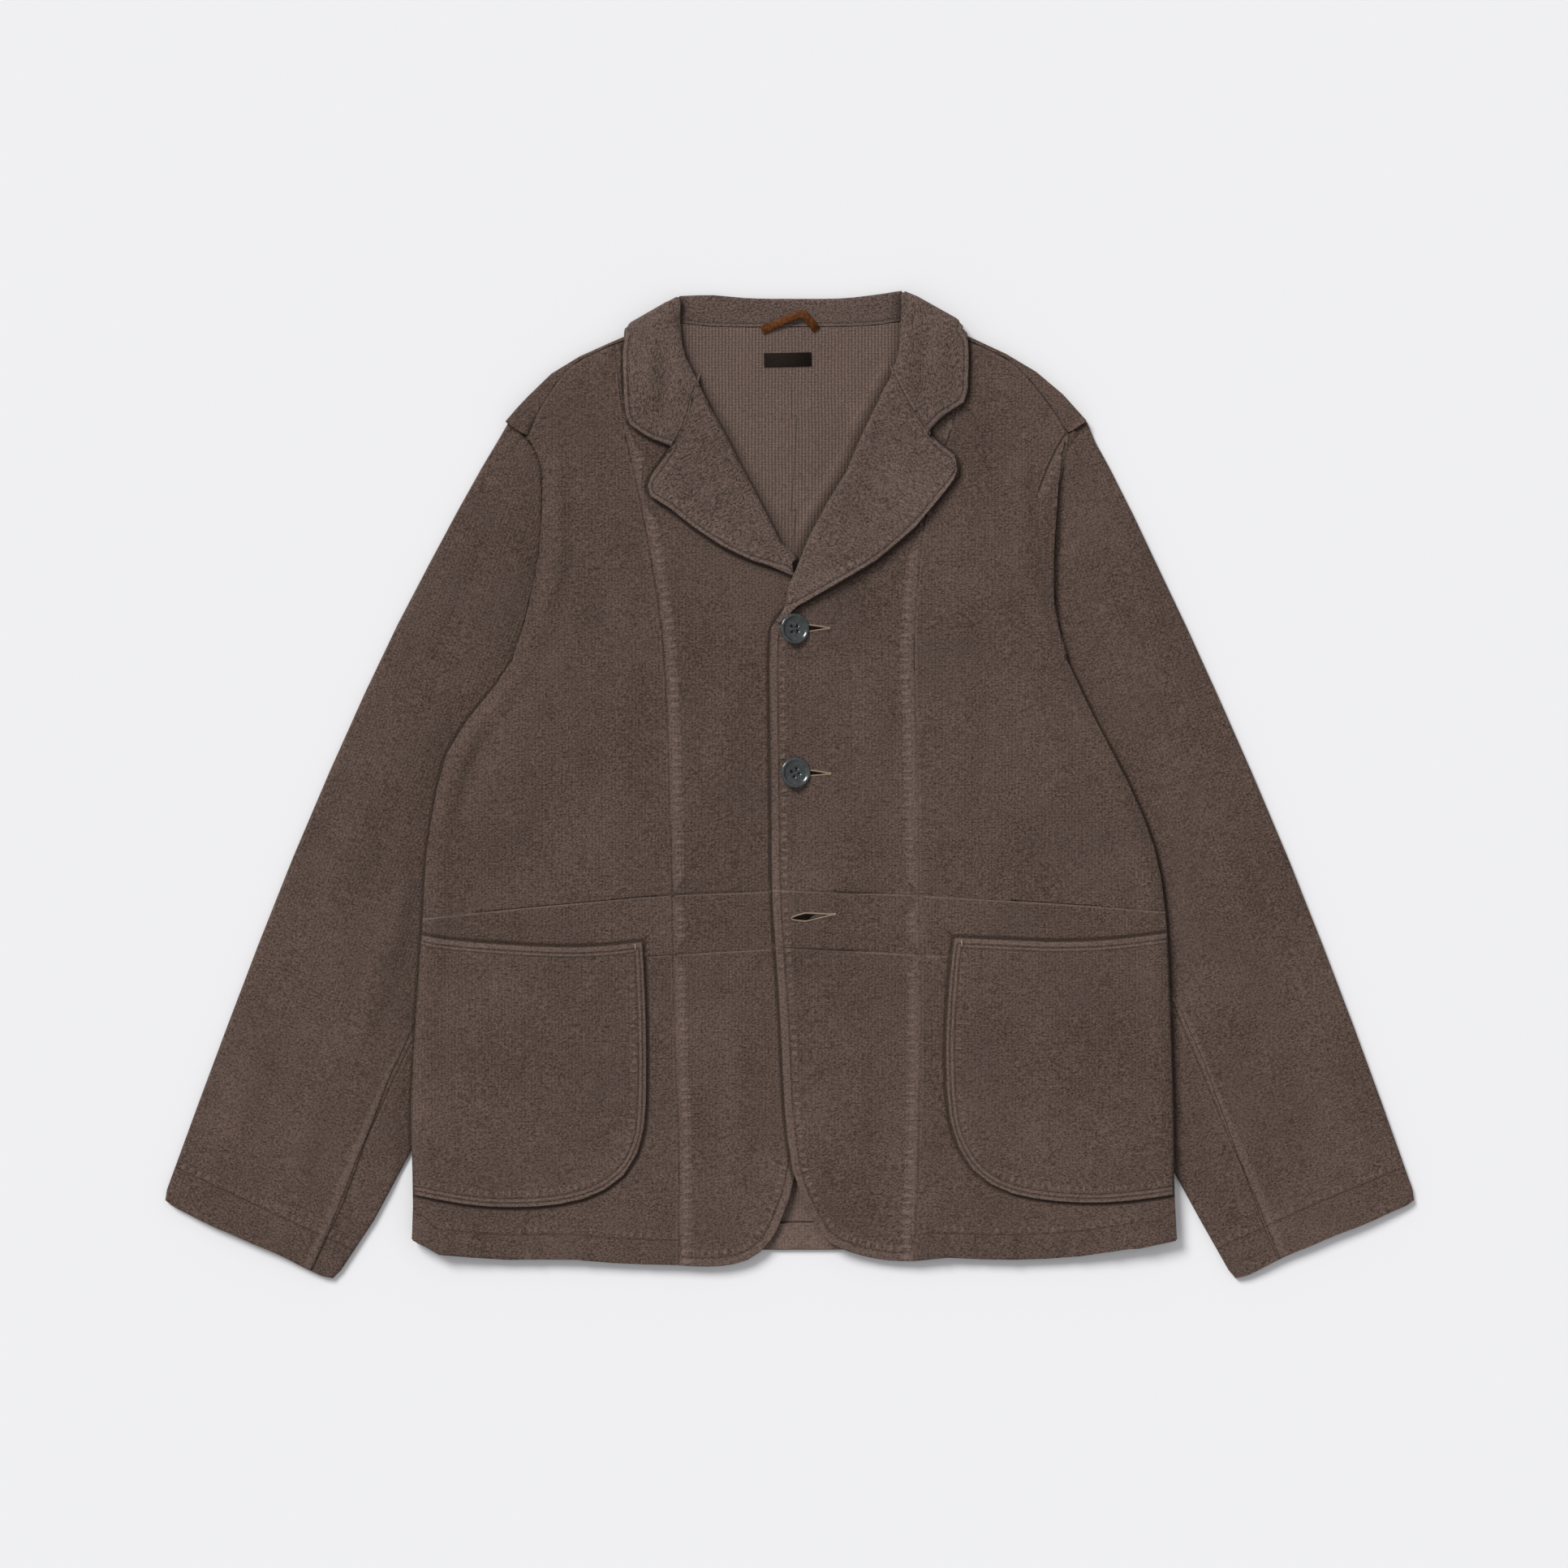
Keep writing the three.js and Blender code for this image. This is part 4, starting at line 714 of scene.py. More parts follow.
@dataclass
class Cloth:
    """One piece of cloth, cut fine from its solid.

    Args:
        node: the solid it stands for.
        finish: its outer face.
        slot: the material slot's name; not used.
        flat: width and length of its cut in metres; not used.
        area: area of its cut in square metres; not used.
        grain: which way its ribs run.
        side: the side of the garment it is on.
        cell: longest edge of its upper faces in millimetres.
        creases: ridges and troughs laid into it.
        rims: its finished edges.
        seams: its seams and the painted shade under its neighbours' edges.
        pulls: seams its edges are drawn to.
        nudges: places where it is moved.
        above: creases fade out below this height; None where the whole piece takes them.
        rests_on: the solids under it; not used.
        held: laid or folded; not used.
        bevel: radius of its rims.
    """

    node: str
    finish: Corduroy
    slot: str
    flat: tuple[float, float]
    area: float
    grain: Grain = Grain.UPRIGHT
    side: str = "right"
    cell: float = 4.0
    creases: list[Crease] = field(default_factory=list)
    rims: list[Rim] = field(default_factory=list)
    seams: list[Seam] = field(default_factory=list)
    pulls: list[Pull] = field(default_factory=list)
    nudges: list[Nudge] = field(default_factory=list)
    above: float | None = None
    rests_on: tuple[str, ...] = ("back",)
    held: str = "laid"
    bevel: float = 0.5

    def build(self, source: bpy.types.Object, material: bpy.types.Material,
              lining: bpy.types.Material) -> bpy.types.Object:
        """Args:
            source: the solid's object, which is only read.
            material: the finish, already built.
            lining: the cloth's inner face.

        Returns:
            The new object.
        """
        points, corners = self._rounded(source.data)
        points, corners = self._cut_fine(points, corners)
        self._even_out(points, corners)
        self._draw_together(points)
        self._crease(points)
        mesh = bpy.data.meshes.new(self.node + "_cloth")
        mesh.from_pydata((points * MM).tolist(), [], corners.tolist())
        mesh.update()
        piece = bpy.data.objects.new(self.node + "_cloth", mesh)
        bpy.context.scene.collection.objects.link(piece)
        self._write_attributes(mesh, points)
        mesh.materials.append(material)
        mesh.materials.append(lining)
        mesh.polygons.foreach_set("material_index", self._inner_faces(points, corners).astype(np.int32))
        mesh.shade_smooth()
        declare(piece, self.node)
        LOG.info("%s: %d faces", piece.name, len(mesh.polygons))
        return piece

    def _rounded(self, mesh: bpy.types.Mesh) -> tuple[np.ndarray, np.ndarray]:
        """The solid's points and triangles in millimetres, with its rims rounded."""
        bm = bmesh.new()
        bm.from_mesh(mesh)
        bmesh.ops.remove_doubles(bm, verts=bm.verts, dist=2e-6)
        bmesh.ops.dissolve_degenerate(bm, dist=1e-6, edges=bm.edges)
        sharp = [e for e in bm.edges if len(e.link_faces) == 2 and e.calc_face_angle(0.0) > SHARP]
        bmesh.ops.bevel(bm, geom=sharp, offset=self.bevel * MM, offset_type="OFFSET", segments=2, profile=0.5,
                        affect="EDGES", clamp_overlap=True, material=-1)
        bmesh.ops.triangulate(bm, faces=bm.faces)
        bm.verts.index_update()
        points = np.array([v.co for v in bm.verts], float) / MM
        corners = np.array([[v.index for v in f.verts] for f in bm.faces], int)
        bm.free()
        return points, corners

    def _cut_fine(self, points: np.ndarray, corners: np.ndarray) -> tuple[np.ndarray, np.ndarray]:
        """Halves every edge longer than the cell until none is."""
        for _ in range(8):
            edges, back = self._edges_of(corners)
            hidden = np.ones(len(edges))
            below = np.repeat(self._normals(points, corners)[:, 2] < -0.3, 3)
            np.minimum.at(hidden, back, below.astype(float))
            size = np.linalg.norm(points[edges[:, 0]] - points[edges[:, 1]], axis=1)
            long = size > np.where(hidden > 0.5, self.cell * UNDERSIDE_CELLS, self.cell)
            if not long.any():
                break
            halfway = np.full(len(edges), -1)
            halfway[long] = len(points) + np.arange(long.sum())
            points = np.concatenate([points, points[edges[long]].mean(axis=1)])
            middle = halfway[back.reshape(-1)].reshape(-1, 3)
            count = (middle >= 0).sum(axis=1)
            made = [corners[count == 0]]
            one = count == 1
            turn = np.argmax(middle[one] >= 0, axis=1)
            a, b, c = (np.take_along_axis(corners[one], ((turn + k) % 3)[:, None], 1)[:, 0] for k in range(3))
            m = np.take_along_axis(middle[one], turn[:, None], 1)[:, 0]
            made += [np.stack([a, m, c], 1), np.stack([m, b, c], 1)]
            two = count == 2
            turn = (np.argmax(middle[two] < 0, axis=1) + 1) % 3
            a, b, c = (np.take_along_axis(corners[two], ((turn + k) % 3)[:, None], 1)[:, 0] for k in range(3))
            m, n = (np.take_along_axis(middle[two], ((turn + k) % 3)[:, None], 1)[:, 0] for k in range(2))
            made += [np.stack([m, b, n], 1), np.stack([a, m, n], 1), np.stack([a, n, c], 1)]
            three = count == 3
            (a, b, c), (m, n, o) = corners[three].T, middle[three].T
            made += [np.stack(t, 1) for t in ((a, m, o), (m, b, n), (o, n, c), (m, n, o))]
            corners = np.concatenate(made)
        return points, corners

    @staticmethod
    def _edges_of(corners: np.ndarray) -> tuple[np.ndarray, np.ndarray]:
        """The triangles' edges, each once, and which of them each triangle's side is."""
        pairs = np.sort(np.stack([corners, np.roll(corners, -1, axis=1)], axis=2).reshape(-1, 2), axis=1)
        count = int(corners.max()) + 1
        keys, back = np.unique(pairs[:, 0] * count + pairs[:, 1], return_inverse=True)
        return np.stack([keys // count, keys % count], axis=1), back.reshape(-1)

    def _normals(self, points: np.ndarray, corners: np.ndarray) -> np.ndarray:
        """Unit normals of the triangles."""
        a, b, c = (points[corners[:, k]] for k in range(3))
        normal = np.cross(b - a, c - a)
        return normal / np.maximum(np.linalg.norm(normal, axis=1, keepdims=True), 1e-12)

    def _even_out(self, points: np.ndarray, corners: np.ndarray, rounds: int = 30) -> None:
        """Rounds the facets left from the solid, and leaves rims and folds where they are."""
        count = len(points)
        upright = np.abs(self._normals(points, corners)[:, 2])
        tilt = np.ones(count)
        for k in range(3):
            np.minimum.at(tilt, corners[:, k], upright)
        loose = tilt > ALMOST_LEVEL
        edges, _ = self._edges_of(corners)
        degree = np.bincount(edges.ravel(), minlength=count)
        height = points[:, 2].copy()
        for _ in range(rounds):
            total = np.bincount(edges[:, 0], height[edges[:, 1]], count)
            total += np.bincount(edges[:, 1], height[edges[:, 0]], count)
            height = np.where(loose, 0.4 * height + 0.6 * total / np.maximum(degree, 1), height)
        points[:, 2] = height

    def _draw_together(self, points: np.ndarray) -> None:
        """Moves the edges that are sewn to a neighbour up to it."""
        for pull in self.pulls:
            signed, run = pull.line.measure(points[:, :2])
            ahead = pull.line.heading(run)
            left = np.stack([-ahead[:, 1], ahead[:, 0]], axis=1)
            share = pull.amount * (1 - smooth(np.abs(signed) / pull.reach)) * -np.sign(signed)
            share = share * (pull.far + (1 - pull.far) * smooth((pull.line.length - run) / 30.0))
            points[:, :2] += left * share[:, None]
        for nudge in self.nudges:
            share = 1 - smooth(np.linalg.norm(points[:, :2] - nudge.place, axis=1) / nudge.reach)
            points += share[:, None] * np.array([*nudge.shift, nudge.lift])

    def _crease(self, points: np.ndarray) -> None:
        """Lays the creases in. Above a level only, where the piece has a lower ply that lies on the surface."""
        if not self.creases:
            return
        lift = sum(crease.lift(points[:, :2]) for crease in self.creases)
        if self.above is not None:
            lift = lift * smooth((points[:, 2] - self.above) / 1.2)
        if self.grain is Grain.SLEEVE:
            signed, _ = Line(BODY_SIDE[self.side]).measure(points[:, :2])
            away = signed * SIGN[self.side]
            lift = lift * smooth((away - 3) / 16)
            dip = (1 - smooth(np.maximum(away, 0) / 20.0)) * (1 - smooth((points[:, 1] - 190) / 50))
            lift = lift - SLEEVE_DIP * dip * smooth((points[:, 2] - self.above) / 1.2)
        points[:, 2] += lift

    def _inner_faces(self, points: np.ndarray, corners: np.ndarray) -> np.ndarray:
        """1 for the faces that show the cloth's inner side."""
        upward = self._normals(points, corners)[:, 2]
        middle = points[corners].mean(axis=1)
        if self.node == "back":
            forward = (np.abs(middle[:, 0]) > BACK_NECK[0]) & (middle[:, 1] > BACK_NECK[1])
            return (upward > 0.15) & ~forward
        if self.grain is Grain.UPRIGHT and self.node != "collar_stand" and "pocket" not in self.node:
            return upward < -0.15
        return np.zeros(len(corners), bool)

    def _write_attributes(self, mesh: bpy.types.Mesh, points: np.ndarray) -> None:
        """Writes grain, edge, rows, seam and kind, in millimetres."""
        where = points[:, :2]
        count = len(where)
        seed = 40.0 * (sum(map(ord, self.node)) % 23)
        edge, rows = np.full((count, 3), (NOWHERE, 0.0, 0.0)), np.full((count, 3), (NOWHERE, NO_SECOND_ROW, 0.0))
        for rim in self.rims:
            signed, run = rim.line.measure(where)
            distance = np.maximum(signed * rim.inside, 0)
            near = (np.abs(signed) < edge[:, 0]) & (signed * rim.inside > -3)
            edge[near] = np.stack([distance, run, np.full(count, rim.ladder)], axis=1)[near]
            rows[near] = (rim.first, rim.second, rim.show)
        seam, kind = np.full((count, 3), (NOWHERE, 0.0, 0.0)), np.zeros((count, 3))
        for row in self.seams:
            signed, run = row.line.measure(where)
            near = np.abs(signed) < np.abs(seam[:, 0])
            seam[near] = np.stack([signed * row.inside, run, np.full(count, row.band)], axis=1)[near]
            kind[near] = (row.draw, row.ridge, row.ladder)
        grain = np.stack([*self._grain(where), seed + points[:, 2]], axis=1)
        for name, values in (("grain", grain), ("edge", edge), ("rows", rows), ("seam", seam), ("kind", kind)):
            mesh.attributes.new(name, "FLOAT_VECTOR", "POINT").data.foreach_set("vector", values.ravel())

    def _grain(self, where: np.ndarray) -> tuple[np.ndarray, np.ndarray]:
        """Distances across and along the ribs."""
        if self.grain is Grain.UPRIGHT:
            return where[:, 0], where[:, 1]
        if self.grain is Grain.SLEEVE:
            start, end = SLEEVE_AXIS[self.side]
        elif self.grain is Grain.LAPEL:
            start, end = LAPEL_ROLL[self.side][-1], LAPEL_ROLL[self.side][0]
        else:
            start, end = (-100, 300), (100, 300)
        ahead = np.subtract(start, end, dtype=float)
        ahead /= np.linalg.norm(ahead)
        return where @ np.array([ahead[1], -ahead[0]]), where @ ahead


# ------------------------------------------------------------------------------------------------ what is cut


# each panel of a front: the width and length of its cut in metres, and the area in square metres
PANELS = {
    "chest_side": ((0.20, 0.43), 0.048), "chest_centre": ((0.16, 0.43), 0.046),
    "band_side": ((0.19, 0.06), 0.0083), "band_centre": ((0.115, 0.05), 0.0049),
    "skirt_side": ((0.20, 0.235), 0.042), "skirt_centre": ((0.11, 0.24), 0.022),
}


@dataclass
class Fronts:
    """The six panels, the lapel and the pocket of each side."""

    def pieces(self) -> list[Cloth]:
        """All the cloth pieces of both fronts."""
        return [piece for side in SIDES for piece in self._side(side)]

    def _side(self, side: str) -> list[Cloth]:
        """The pieces of one front."""
        sign = SIGN[side]
        princess, edge, hem = Line(PRINCESS[side]), Line(FRONT_EDGE[side]), Line(HEM[side])
        upper, lower = Line(WAIST_UPPER[side]), Line(WAIST_LOWER[side])
        lapel, gorge = Line(LAPEL_EDGE[side]), Line(GORGE[side])
        shoulder = Line(SHOULDER_SEAM[side])
        seams = [Seam(princess, -sign, 9.6, 0.1, 0.35, 0.9), Seam(upper, sign, draw=0.2, ridge=1.0),
                 Seam(lower, sign, draw=0.2, ridge=1.0), Seam(shoulder, -sign, draw=0.7, ridge=0.4)]
        # painted shade: dark lines on the cloth just outside the pockets', lapels', collar's and over-front's edges,
        # where it lies in their shadow
        painted_shades = [Line(POCKET_TOP[side]).moved(0.8 * sign), Line(POCKET_RIM[side]).moved(-0.7 * sign),
                  Line(LAPEL_EDGE[side]).moved(1.0 * sign), Line(COLLAR_EDGE[side]).moved(1.0 * sign)]
        if side == "right":
            painted_shades.append(Line(FRONT_EDGE["left"]).moved(0.9))
        seams += [Seam(line, 1, -1.5, 1.7, 0.0) for line in painted_shades]
        if side == "left":
            seams.append(Seam(Line(ARMHOLE["left"][:6]), 1, 7.0, 1.8, 0.3, 1.1))
        rims = [Rim(edge, sign, 6.4, ladder=0.95, show=0.8, thread=False), Rim(hem, sign, 18.5, ladder=0.6, show=0.9)]
        joins = [Pull(line, 0.5, 7.0) for line in (princess, upper, lower, shoulder)]
        joins.append(Pull(sleeve_head(side), 1.2, 9.0))
        common = dict(finish=OUTER, slot="brushed_cloth", side=side, rims=rims, seams=seams, creases=BODY_CREASES,
                      pulls=joins, bevel=0.3)
        panels = {name: Cloth(f"{side}_{name}", flat=flat, area=area, **common)
                  for name, (flat, area) in PANELS.items()}
        panels["chest_centre"].nudges = LAPEL_NUDGES[side]
        panels["skirt_side"].nudges = [
            Nudge((-276.4, -338.8) if side == "right" else (283, -337.2), 7, (-0.9 * sign, -0.8))
        ]
        made = list(panels.values())
        made.append(Cloth(
            side + "_pocket", OUTER, "brushed_cloth", (0.175, 0.205), 0.032, side=side, creases=BODY_CREASES,
            rims=[Rim(Line(POCKET_RIM[side]), sign, 3.5, 6.6, 0.6), Rim(Line(POCKET_TOP[side]), -sign, 4.8, 7.6, 0.15)],
            nudges=[Nudge((-200 if side == "right" else 205, -113), 62, (0, 0), 1.5)],
            rests_on=(side + "_skirt_side",), cell=3.4,
        ))
        made.append(Cloth(
            side + "_lapel_facing", COLLAR, "collar_cloth", (0.125, 0.19) if side == "left" else (0.10, 0.145),
            0.0101 if side == "left" else 0.0070, Grain.LAPEL, side, creases=BODY_CREASES, cell=3.0,
            rims=[Rim(lapel, -sign, 3.4, ladder=0.7)], seams=[Seam(gorge, sign, draw=0.6, ridge=0.5)],
            pulls=[Pull(gorge, 1.7, 11.0, 1.45)], nudges=LAPEL_NUDGES[side] + FACING_NUDGES[side],
            rests_on=(side + "_chest_centre",), held="folded",
        ))
        return made


@dataclass
class Sleeves:
    """The two pieces of each sleeve."""

    def pieces(self) -> list[Cloth]:
        """The four sleeve pieces."""
        made = []
        for side in SIDES:
            sign = SIGN[side]
            armhole = Line(ARMHOLE[side] if side == "right" else ARMHOLE[side][:2])
            # the third seam is painted shade: a dark line on the sleeve just beside the body's edge, where the body
            # shades it
            seams = [Seam(Line(SLEEVE_FRONT_SEAM[side]), sign, 7.0, 0.9, 0.3, 0.35), Seam(armhole, sign, 0.0, 1.0, 0.4),
                     Seam(Line(BODY_SIDE[side]).moved(0.6 * sign), sign, -1.8, 1.4, 0.0)]
            common = dict(
                finish=OUTER, slot="brushed_cloth", grain=Grain.SLEEVE, side=side, cell=5.0, above=2.0, seams=seams,
                rims=[Rim(Line(CUFF[side]), sign, 27.0, ladder=0.5, show=1.1)],
                pulls=[Pull(sleeve_head(side), 4.0, 34.0, 0.6)], nudges=SLEEVE_NUDGES[side],
                creases=SLEEVE_CREASES[side], rests_on=(), held="folded",
            )
            made.append(Cloth(side + "_sleeve_top", flat=(0.24, 0.65), area=0.097, **common))
            made.append(Cloth(side + "_sleeve_under", flat=(0.24, 0.62), area=0.095, **common))
        return made


SLEEVE_NUDGES: dict[str, list[Nudge]] = {
    "right": [Nudge((-196, 246), 34, (1.5, 0.8), 1.0), Nudge((-464, -307), 10, (1.9, 0.8)),
              Nudge((-337.5, -366), 10, (-0.6, 2.0)), Nudge((-430, -323), 30, (0.3, -1.0)),
              Nudge((-378, -347), 26, (-0.4, 1.2))],
    "left": [Nudge((204, 246), 27, (-4.2, 2.4), 2.2), Nudge((220, 267), 16, (0.4, 3.2)),
             Nudge((464, -307), 10, (-1.9, 0.8)), Nudge((329.5, -366), 10, (0.6, 2.0)),
             Nudge((424, -321), 30, (-0.3, -1.0)), Nudge((366, -349), 26, (0.4, 1.2))],
}
LAPEL_NUDGES: dict[str, list[Nudge]] = {
    "right": [Nudge((-3, 161), 17, (6.5, -4.5), -0.8), Nudge((-66, 298), 8, (-1.2, 0.5))],
    "left": [Nudge((-9, 133), 19, (4.5, -1.5), -0.5), Nudge((74, 303), 8, (1.2, 0.5)),
             Nudge((126, 233), 9, (-1.8, 0.2))],
}
FACING_NUDGES: dict[str, list[Nudge]] = {
    "right": [Nudge((-64, 296), 14, (-1.8, 5.0), -0.6), Nudge((-77, 273), 16, (0, 0), -0.7),
              Nudge((-1, 170), 13, (4.5, 1.5))],
    "left": [Nudge((-6, 127.5), 10, (-1.5, -4.5), -0.7), Nudge((72, 301), 14, (1.8, 5.0), -0.6),
             Nudge((88, 284), 18, (0, 0), -0.7)],
}
COLLAR_NUDGES: list[Nudge] = [
    Nudge((-122.4, 339.4), 6, (1.8, -1.4)), Nudge((-120.4, 333.8), 6, (-1.6, 0.0)),
    Nudge((129, 343), 6, (-1.6, -2.0)), Nudge((130, 334.5), 8, (2.4, 1.2)),
    Nudge((-82, 359), 8, (0.5, 1.0)), Nudge((84, 362), 8, (-1.0, 0.2)),
    Nudge((-68, 300), 9, (0.8, -3.2)), Nudge((76, 305.5), 9, (-0.8, -3.2)),
]
STAND_NUDGES: list[Nudge] = [Nudge((-80, 352), 18, (-6.0, 0.5)), Nudge((81, 354), 18, (6.0, 1.5))]
# short puckers across the hem: both ends, the height, and how far each reaches to its left and its right
HEM_PUCKERS = [
    (-255, -350, -252, -322, 1.0, 5, 6), (-222, -352, -226, -326, -0.9, 5, 4), (-191, -353, -187, -325, 1.1, 4, 7),
    (-149, -354, -153, -328, 0.9, 6, 4), (-112, -356, -110, -330, -0.8, 4, 5), (113, -353, 109, -327, 1.0, 5, 5),
    (137, -353, 141, -324, -1.1, 4, 5), (166, -353, 164, -322, 1.2, 7, 4), (205, -351, 209, -320, -0.9, 5, 4),
    (238, -347, 236, -319, 1.1, 4, 6), (264, -344, 262, -318, 0.8, 5, 5),
]
BODY_CREASES: list[Crease] = [
    Crease(beside(BODY_SIDE["right"], -9), 2.2, 9, 15, 0.5, 0.5),
    Crease(beside(BODY_SIDE["left"], 9), 2.2, 15, 9, 0.5, 0.5),
    Crease([(-176, 262), (-172, 205), (-173, 160), (-181, 118)], 2.43, 15, 12),
    Crease([(176, 262), (173, 205), (176, 160), (186, 118)], 2.7, 12, 15),
    Crease([(-222, 60), (-243, 20), (-252, -30)], 1.89, 12, 20),
    Crease([(220, 60), (243, 8), (260, -40)], 1.89, 20, 12),
    Crease([(-40, 96), (-48, 20), (-38, -50)], 1.35, 20, 16),
    Crease([(56, 104), (64, 20), (52, -56)], 1.49, 16, 22),
    Crease([(-150, 200), (-168, 110), (-200, 30), (-206, -60)], 1.76, 30, 34),
    Crease([(146, 206), (164, 106), (192, 20), (200, -56)], 1.62, 34, 30),
    Crease([(-118, 180), (-122, 60), (-116, -60)], 1.22, 16, 20),
    Crease([(122, 190), (128, 70), (118, -50)], 1.22, 20, 16),
    Crease([(-44, -150), (-38, -230), (-46, -330)], 1.49, 18, 16, 0.0, 0.4),
    Crease([(-6, 96), (-5, 40), (-3, -30), (0, -118), (6, -240), (12, -296)], 0.9, 10, 22, 0.2, 0.2),
    Crease([(44, -150), (52, -230), (46, -330)], 1.49, 16, 18, 0.0, 0.4),
    *(Crease([(x0, y0), (x1, y1)], height, left, right, 0.7)
      for x0, y0, x1, y1, height, left, right in HEM_PUCKERS),
    Crease([(-240, -150), (-196, -200), (-176, -270)], 1.62, 34, 30),
    Crease([(246, -146), (204, -196), (186, -268)], 1.49, 30, 34),
]
SLEEVE_CREASES: dict[str, list[Crease]] = {
    "right": [
        Crease([(-222, 215), (-250, 150), (-282, 80)], 1.6, 16, 24),
        Crease([(-300, 30), (-330, -60), (-352, -140)], 1.5, 26, 20),
        Crease([(-372, -150), (-396, -215), (-424, -290)], 1.89, 18, 26, 0.0, 0.4),
        Crease([(-272, -40), (-296, -120), (-326, -210)], 2.03, 16, 18),
        Crease([(-334, -190), (-350, -240), (-372, -310)], 1.35, 14, 16, 0.0, 0.4),
    ],
    "left": [
        Crease([(230, 215), (258, 150), (288, 80)], 2.43, 24, 16),
        Crease([(302, 28), (330, -62), (356, -146)], 2.16, 20, 26),
        Crease([(376, -146), (398, -212), (424, -288)], 1.89, 26, 18, 0.0, 0.4),
        Crease([(282, -36), (304, -116), (334, -206)], 2.03, 18, 16),
        Crease([(342, -186), (358, -238), (378, -306)], 1.35, 16, 14, 0.0, 0.4),
    ],
}


@dataclass
class BackAndCollar:
    """The back, the collar and its stand."""

    def pieces(self) -> list[Cloth]:
        """The three pieces."""
        neck = Line(NECK_SEAM)
        back_hem = Line([(-262, -322.5), (0, -322.5), (268, -322.5)])
        shoulders = [Line(SHOULDER_SEAM[side]) for side in SIDES]
        gorges = [Line(GORGE[side]) for side in SIDES]
        rolls = [Line([*LAPEL_ROLL[side], *COLLAR_ROLL[side]]) for side in SIDES]
        return [
            Cloth("back", OUTER, "ribbed_cloth", (0.58, 0.74), 0.345, cell=6.5, rests_on=(), bevel=0.3,
                  seams=[Seam(back_hem, 1, draw=1.8, ridge=0.9),
                         # painted shade: a soft dark band on the back's inner face beside the lapels' and collar's
                         # rolls, about 10 mm wide
                         *(Seam(roll, 1, -9.0, 1.15, 0.0) for roll in rolls),
                         *(Seam(line, sign, draw=0.9, ridge=0.4) for line, sign in zip(shoulders, (-1, 1)))],
                  pulls=[*(Pull(line, 0.26, 7.0) for line in shoulders),
                         *(Pull(sleeve_head(side), 2.0, 10.0) for side in SIDES)],
                  nudges=[Nudge((-209, 270), 12, (1.0, 0.6)), Nudge((218, 271), 14, (-1.0, 1.2))],
                  creases=[Crease(beside(LAPEL_ROLL[side], -SIGN[side] * 5.0), 1.4, 8, 8, 0.4, 1) for side in SIDES]),
            Cloth("collar", COLLAR, "collar_cloth", (0.30, 0.12), 0.0212, Grain.COLLAR, cell=3.2,
                  rims=[Rim(Line(COLLAR_EDGE[side]), -SIGN[side], 3.4, ladder=0.4) for side in SIDES],
                  seams=[Seam(line, sign, draw=0.6, ridge=0.5) for line, sign in zip(gorges, (-1, 1))],
                  pulls=[Pull(line, 1.7, 11.0, 1.35) for line in gorges], nudges=COLLAR_NUDGES, creases=COLLAR_CREASES,
                  above=8.0, held="folded"),
            Cloth("collar_stand", COLLAR, "collar_cloth", (0.165, 0.03), 0.0042, cell=3.2,
                  rims=[Rim(neck, 1, 2.6, ladder=0.1, show=0.8)], nudges=STAND_NUDGES,
                  # painted shade: the stand darkened within about 9 mm of the collar's rolls, at its ends
                  seams=[Seam(roll, 1, -8.0, 1.5, 0.0) for roll in rolls], rests_on=("collar",), held="folded"),
        ]


COLLAR_CREASES: list[Crease] = [
    Crease([(-84, 356), (-79, 342), (-76, 326), (-72, 308)], -2.4, 7, 6, 0.4),
    Crease([(87, 358), (82, 346), (80, 330), (78, 312)], -2.4, 6, 7, 0.4),
    Crease([(-108, 266), (-103, 298), (-106, 338)], 2.0, 9, 10),
    Crease([(-92, 262), (-91, 300), (-94, 336)], -1.5, 7, 7),
    Crease([(-80, 276), (-80, 306), (-84, 336)], 1.0, 6, 7),
    Crease([(117, 280), (112, 308), (111, 342)], 2.0, 10, 9),
    Crease([(101, 278), (99, 306), (99, 340)], -1.5, 7, 7),
    Crease([(88, 286), (86, 310), (88, 340)], 1.0, 7, 6),
]


# ------------------------------------------------------------------------------------------------ trims


def declare(piece: bpy.types.Object, node: str | None = None) -> None:
    """Hangs a piece on the garment, and hides the solid it stands for, if any."""
    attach(piece, "root")
    if node:
        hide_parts(node)


class Surface:
    """The dressed cloth as one surface to lay trims on."""

    def __init__(self, pieces: list[bpy.types.Object]) -> None:
        """Gathers the pieces' faces."""
        vertices: list[list[float]] = []
        faces: list[list[int]] = []
        for piece in pieces:
            start = len(vertices)
            where = np.empty(len(piece.data.vertices) * 3)
            piece.data.vertices.foreach_get("co", where)
            vertices.extend(where.reshape(-1, 3).tolist())
            corners = np.empty(len(piece.data.polygons) * 3, int)
            piece.data.polygons.foreach_get("vertices", corners)
            faces.extend((corners.reshape(-1, 3) + start).tolist())
        self.tree = BVHTree.FromPolygons(vertices, faces)

    def height(self, x: float, y: float) -> float:
        """How high the cloth's upper face lies at a place in plan, in millimetres."""
        hit = self.tree.ray_cast(Vector((x * MM, y * MM, 0.1)), Vector((0, 0, -1)))
        return hit[0].z / MM if hit[0] is not None else 0.0


def new_object(name: str, vertices: list, faces: list, material: bpy.types.Material) -> bpy.types.Object:
    """A mesh object from points in millimetres."""
    mesh = bpy.data.meshes.new(name)
    mesh.from_pydata([tuple(c * MM for c in v) for v in vertices], [], faces)
    mesh.update()
    mesh.materials.append(material)
    mesh.shade_smooth()
    made = bpy.data.objects.new(name, mesh)
    bpy.context.scene.collection.objects.link(made)
    return made


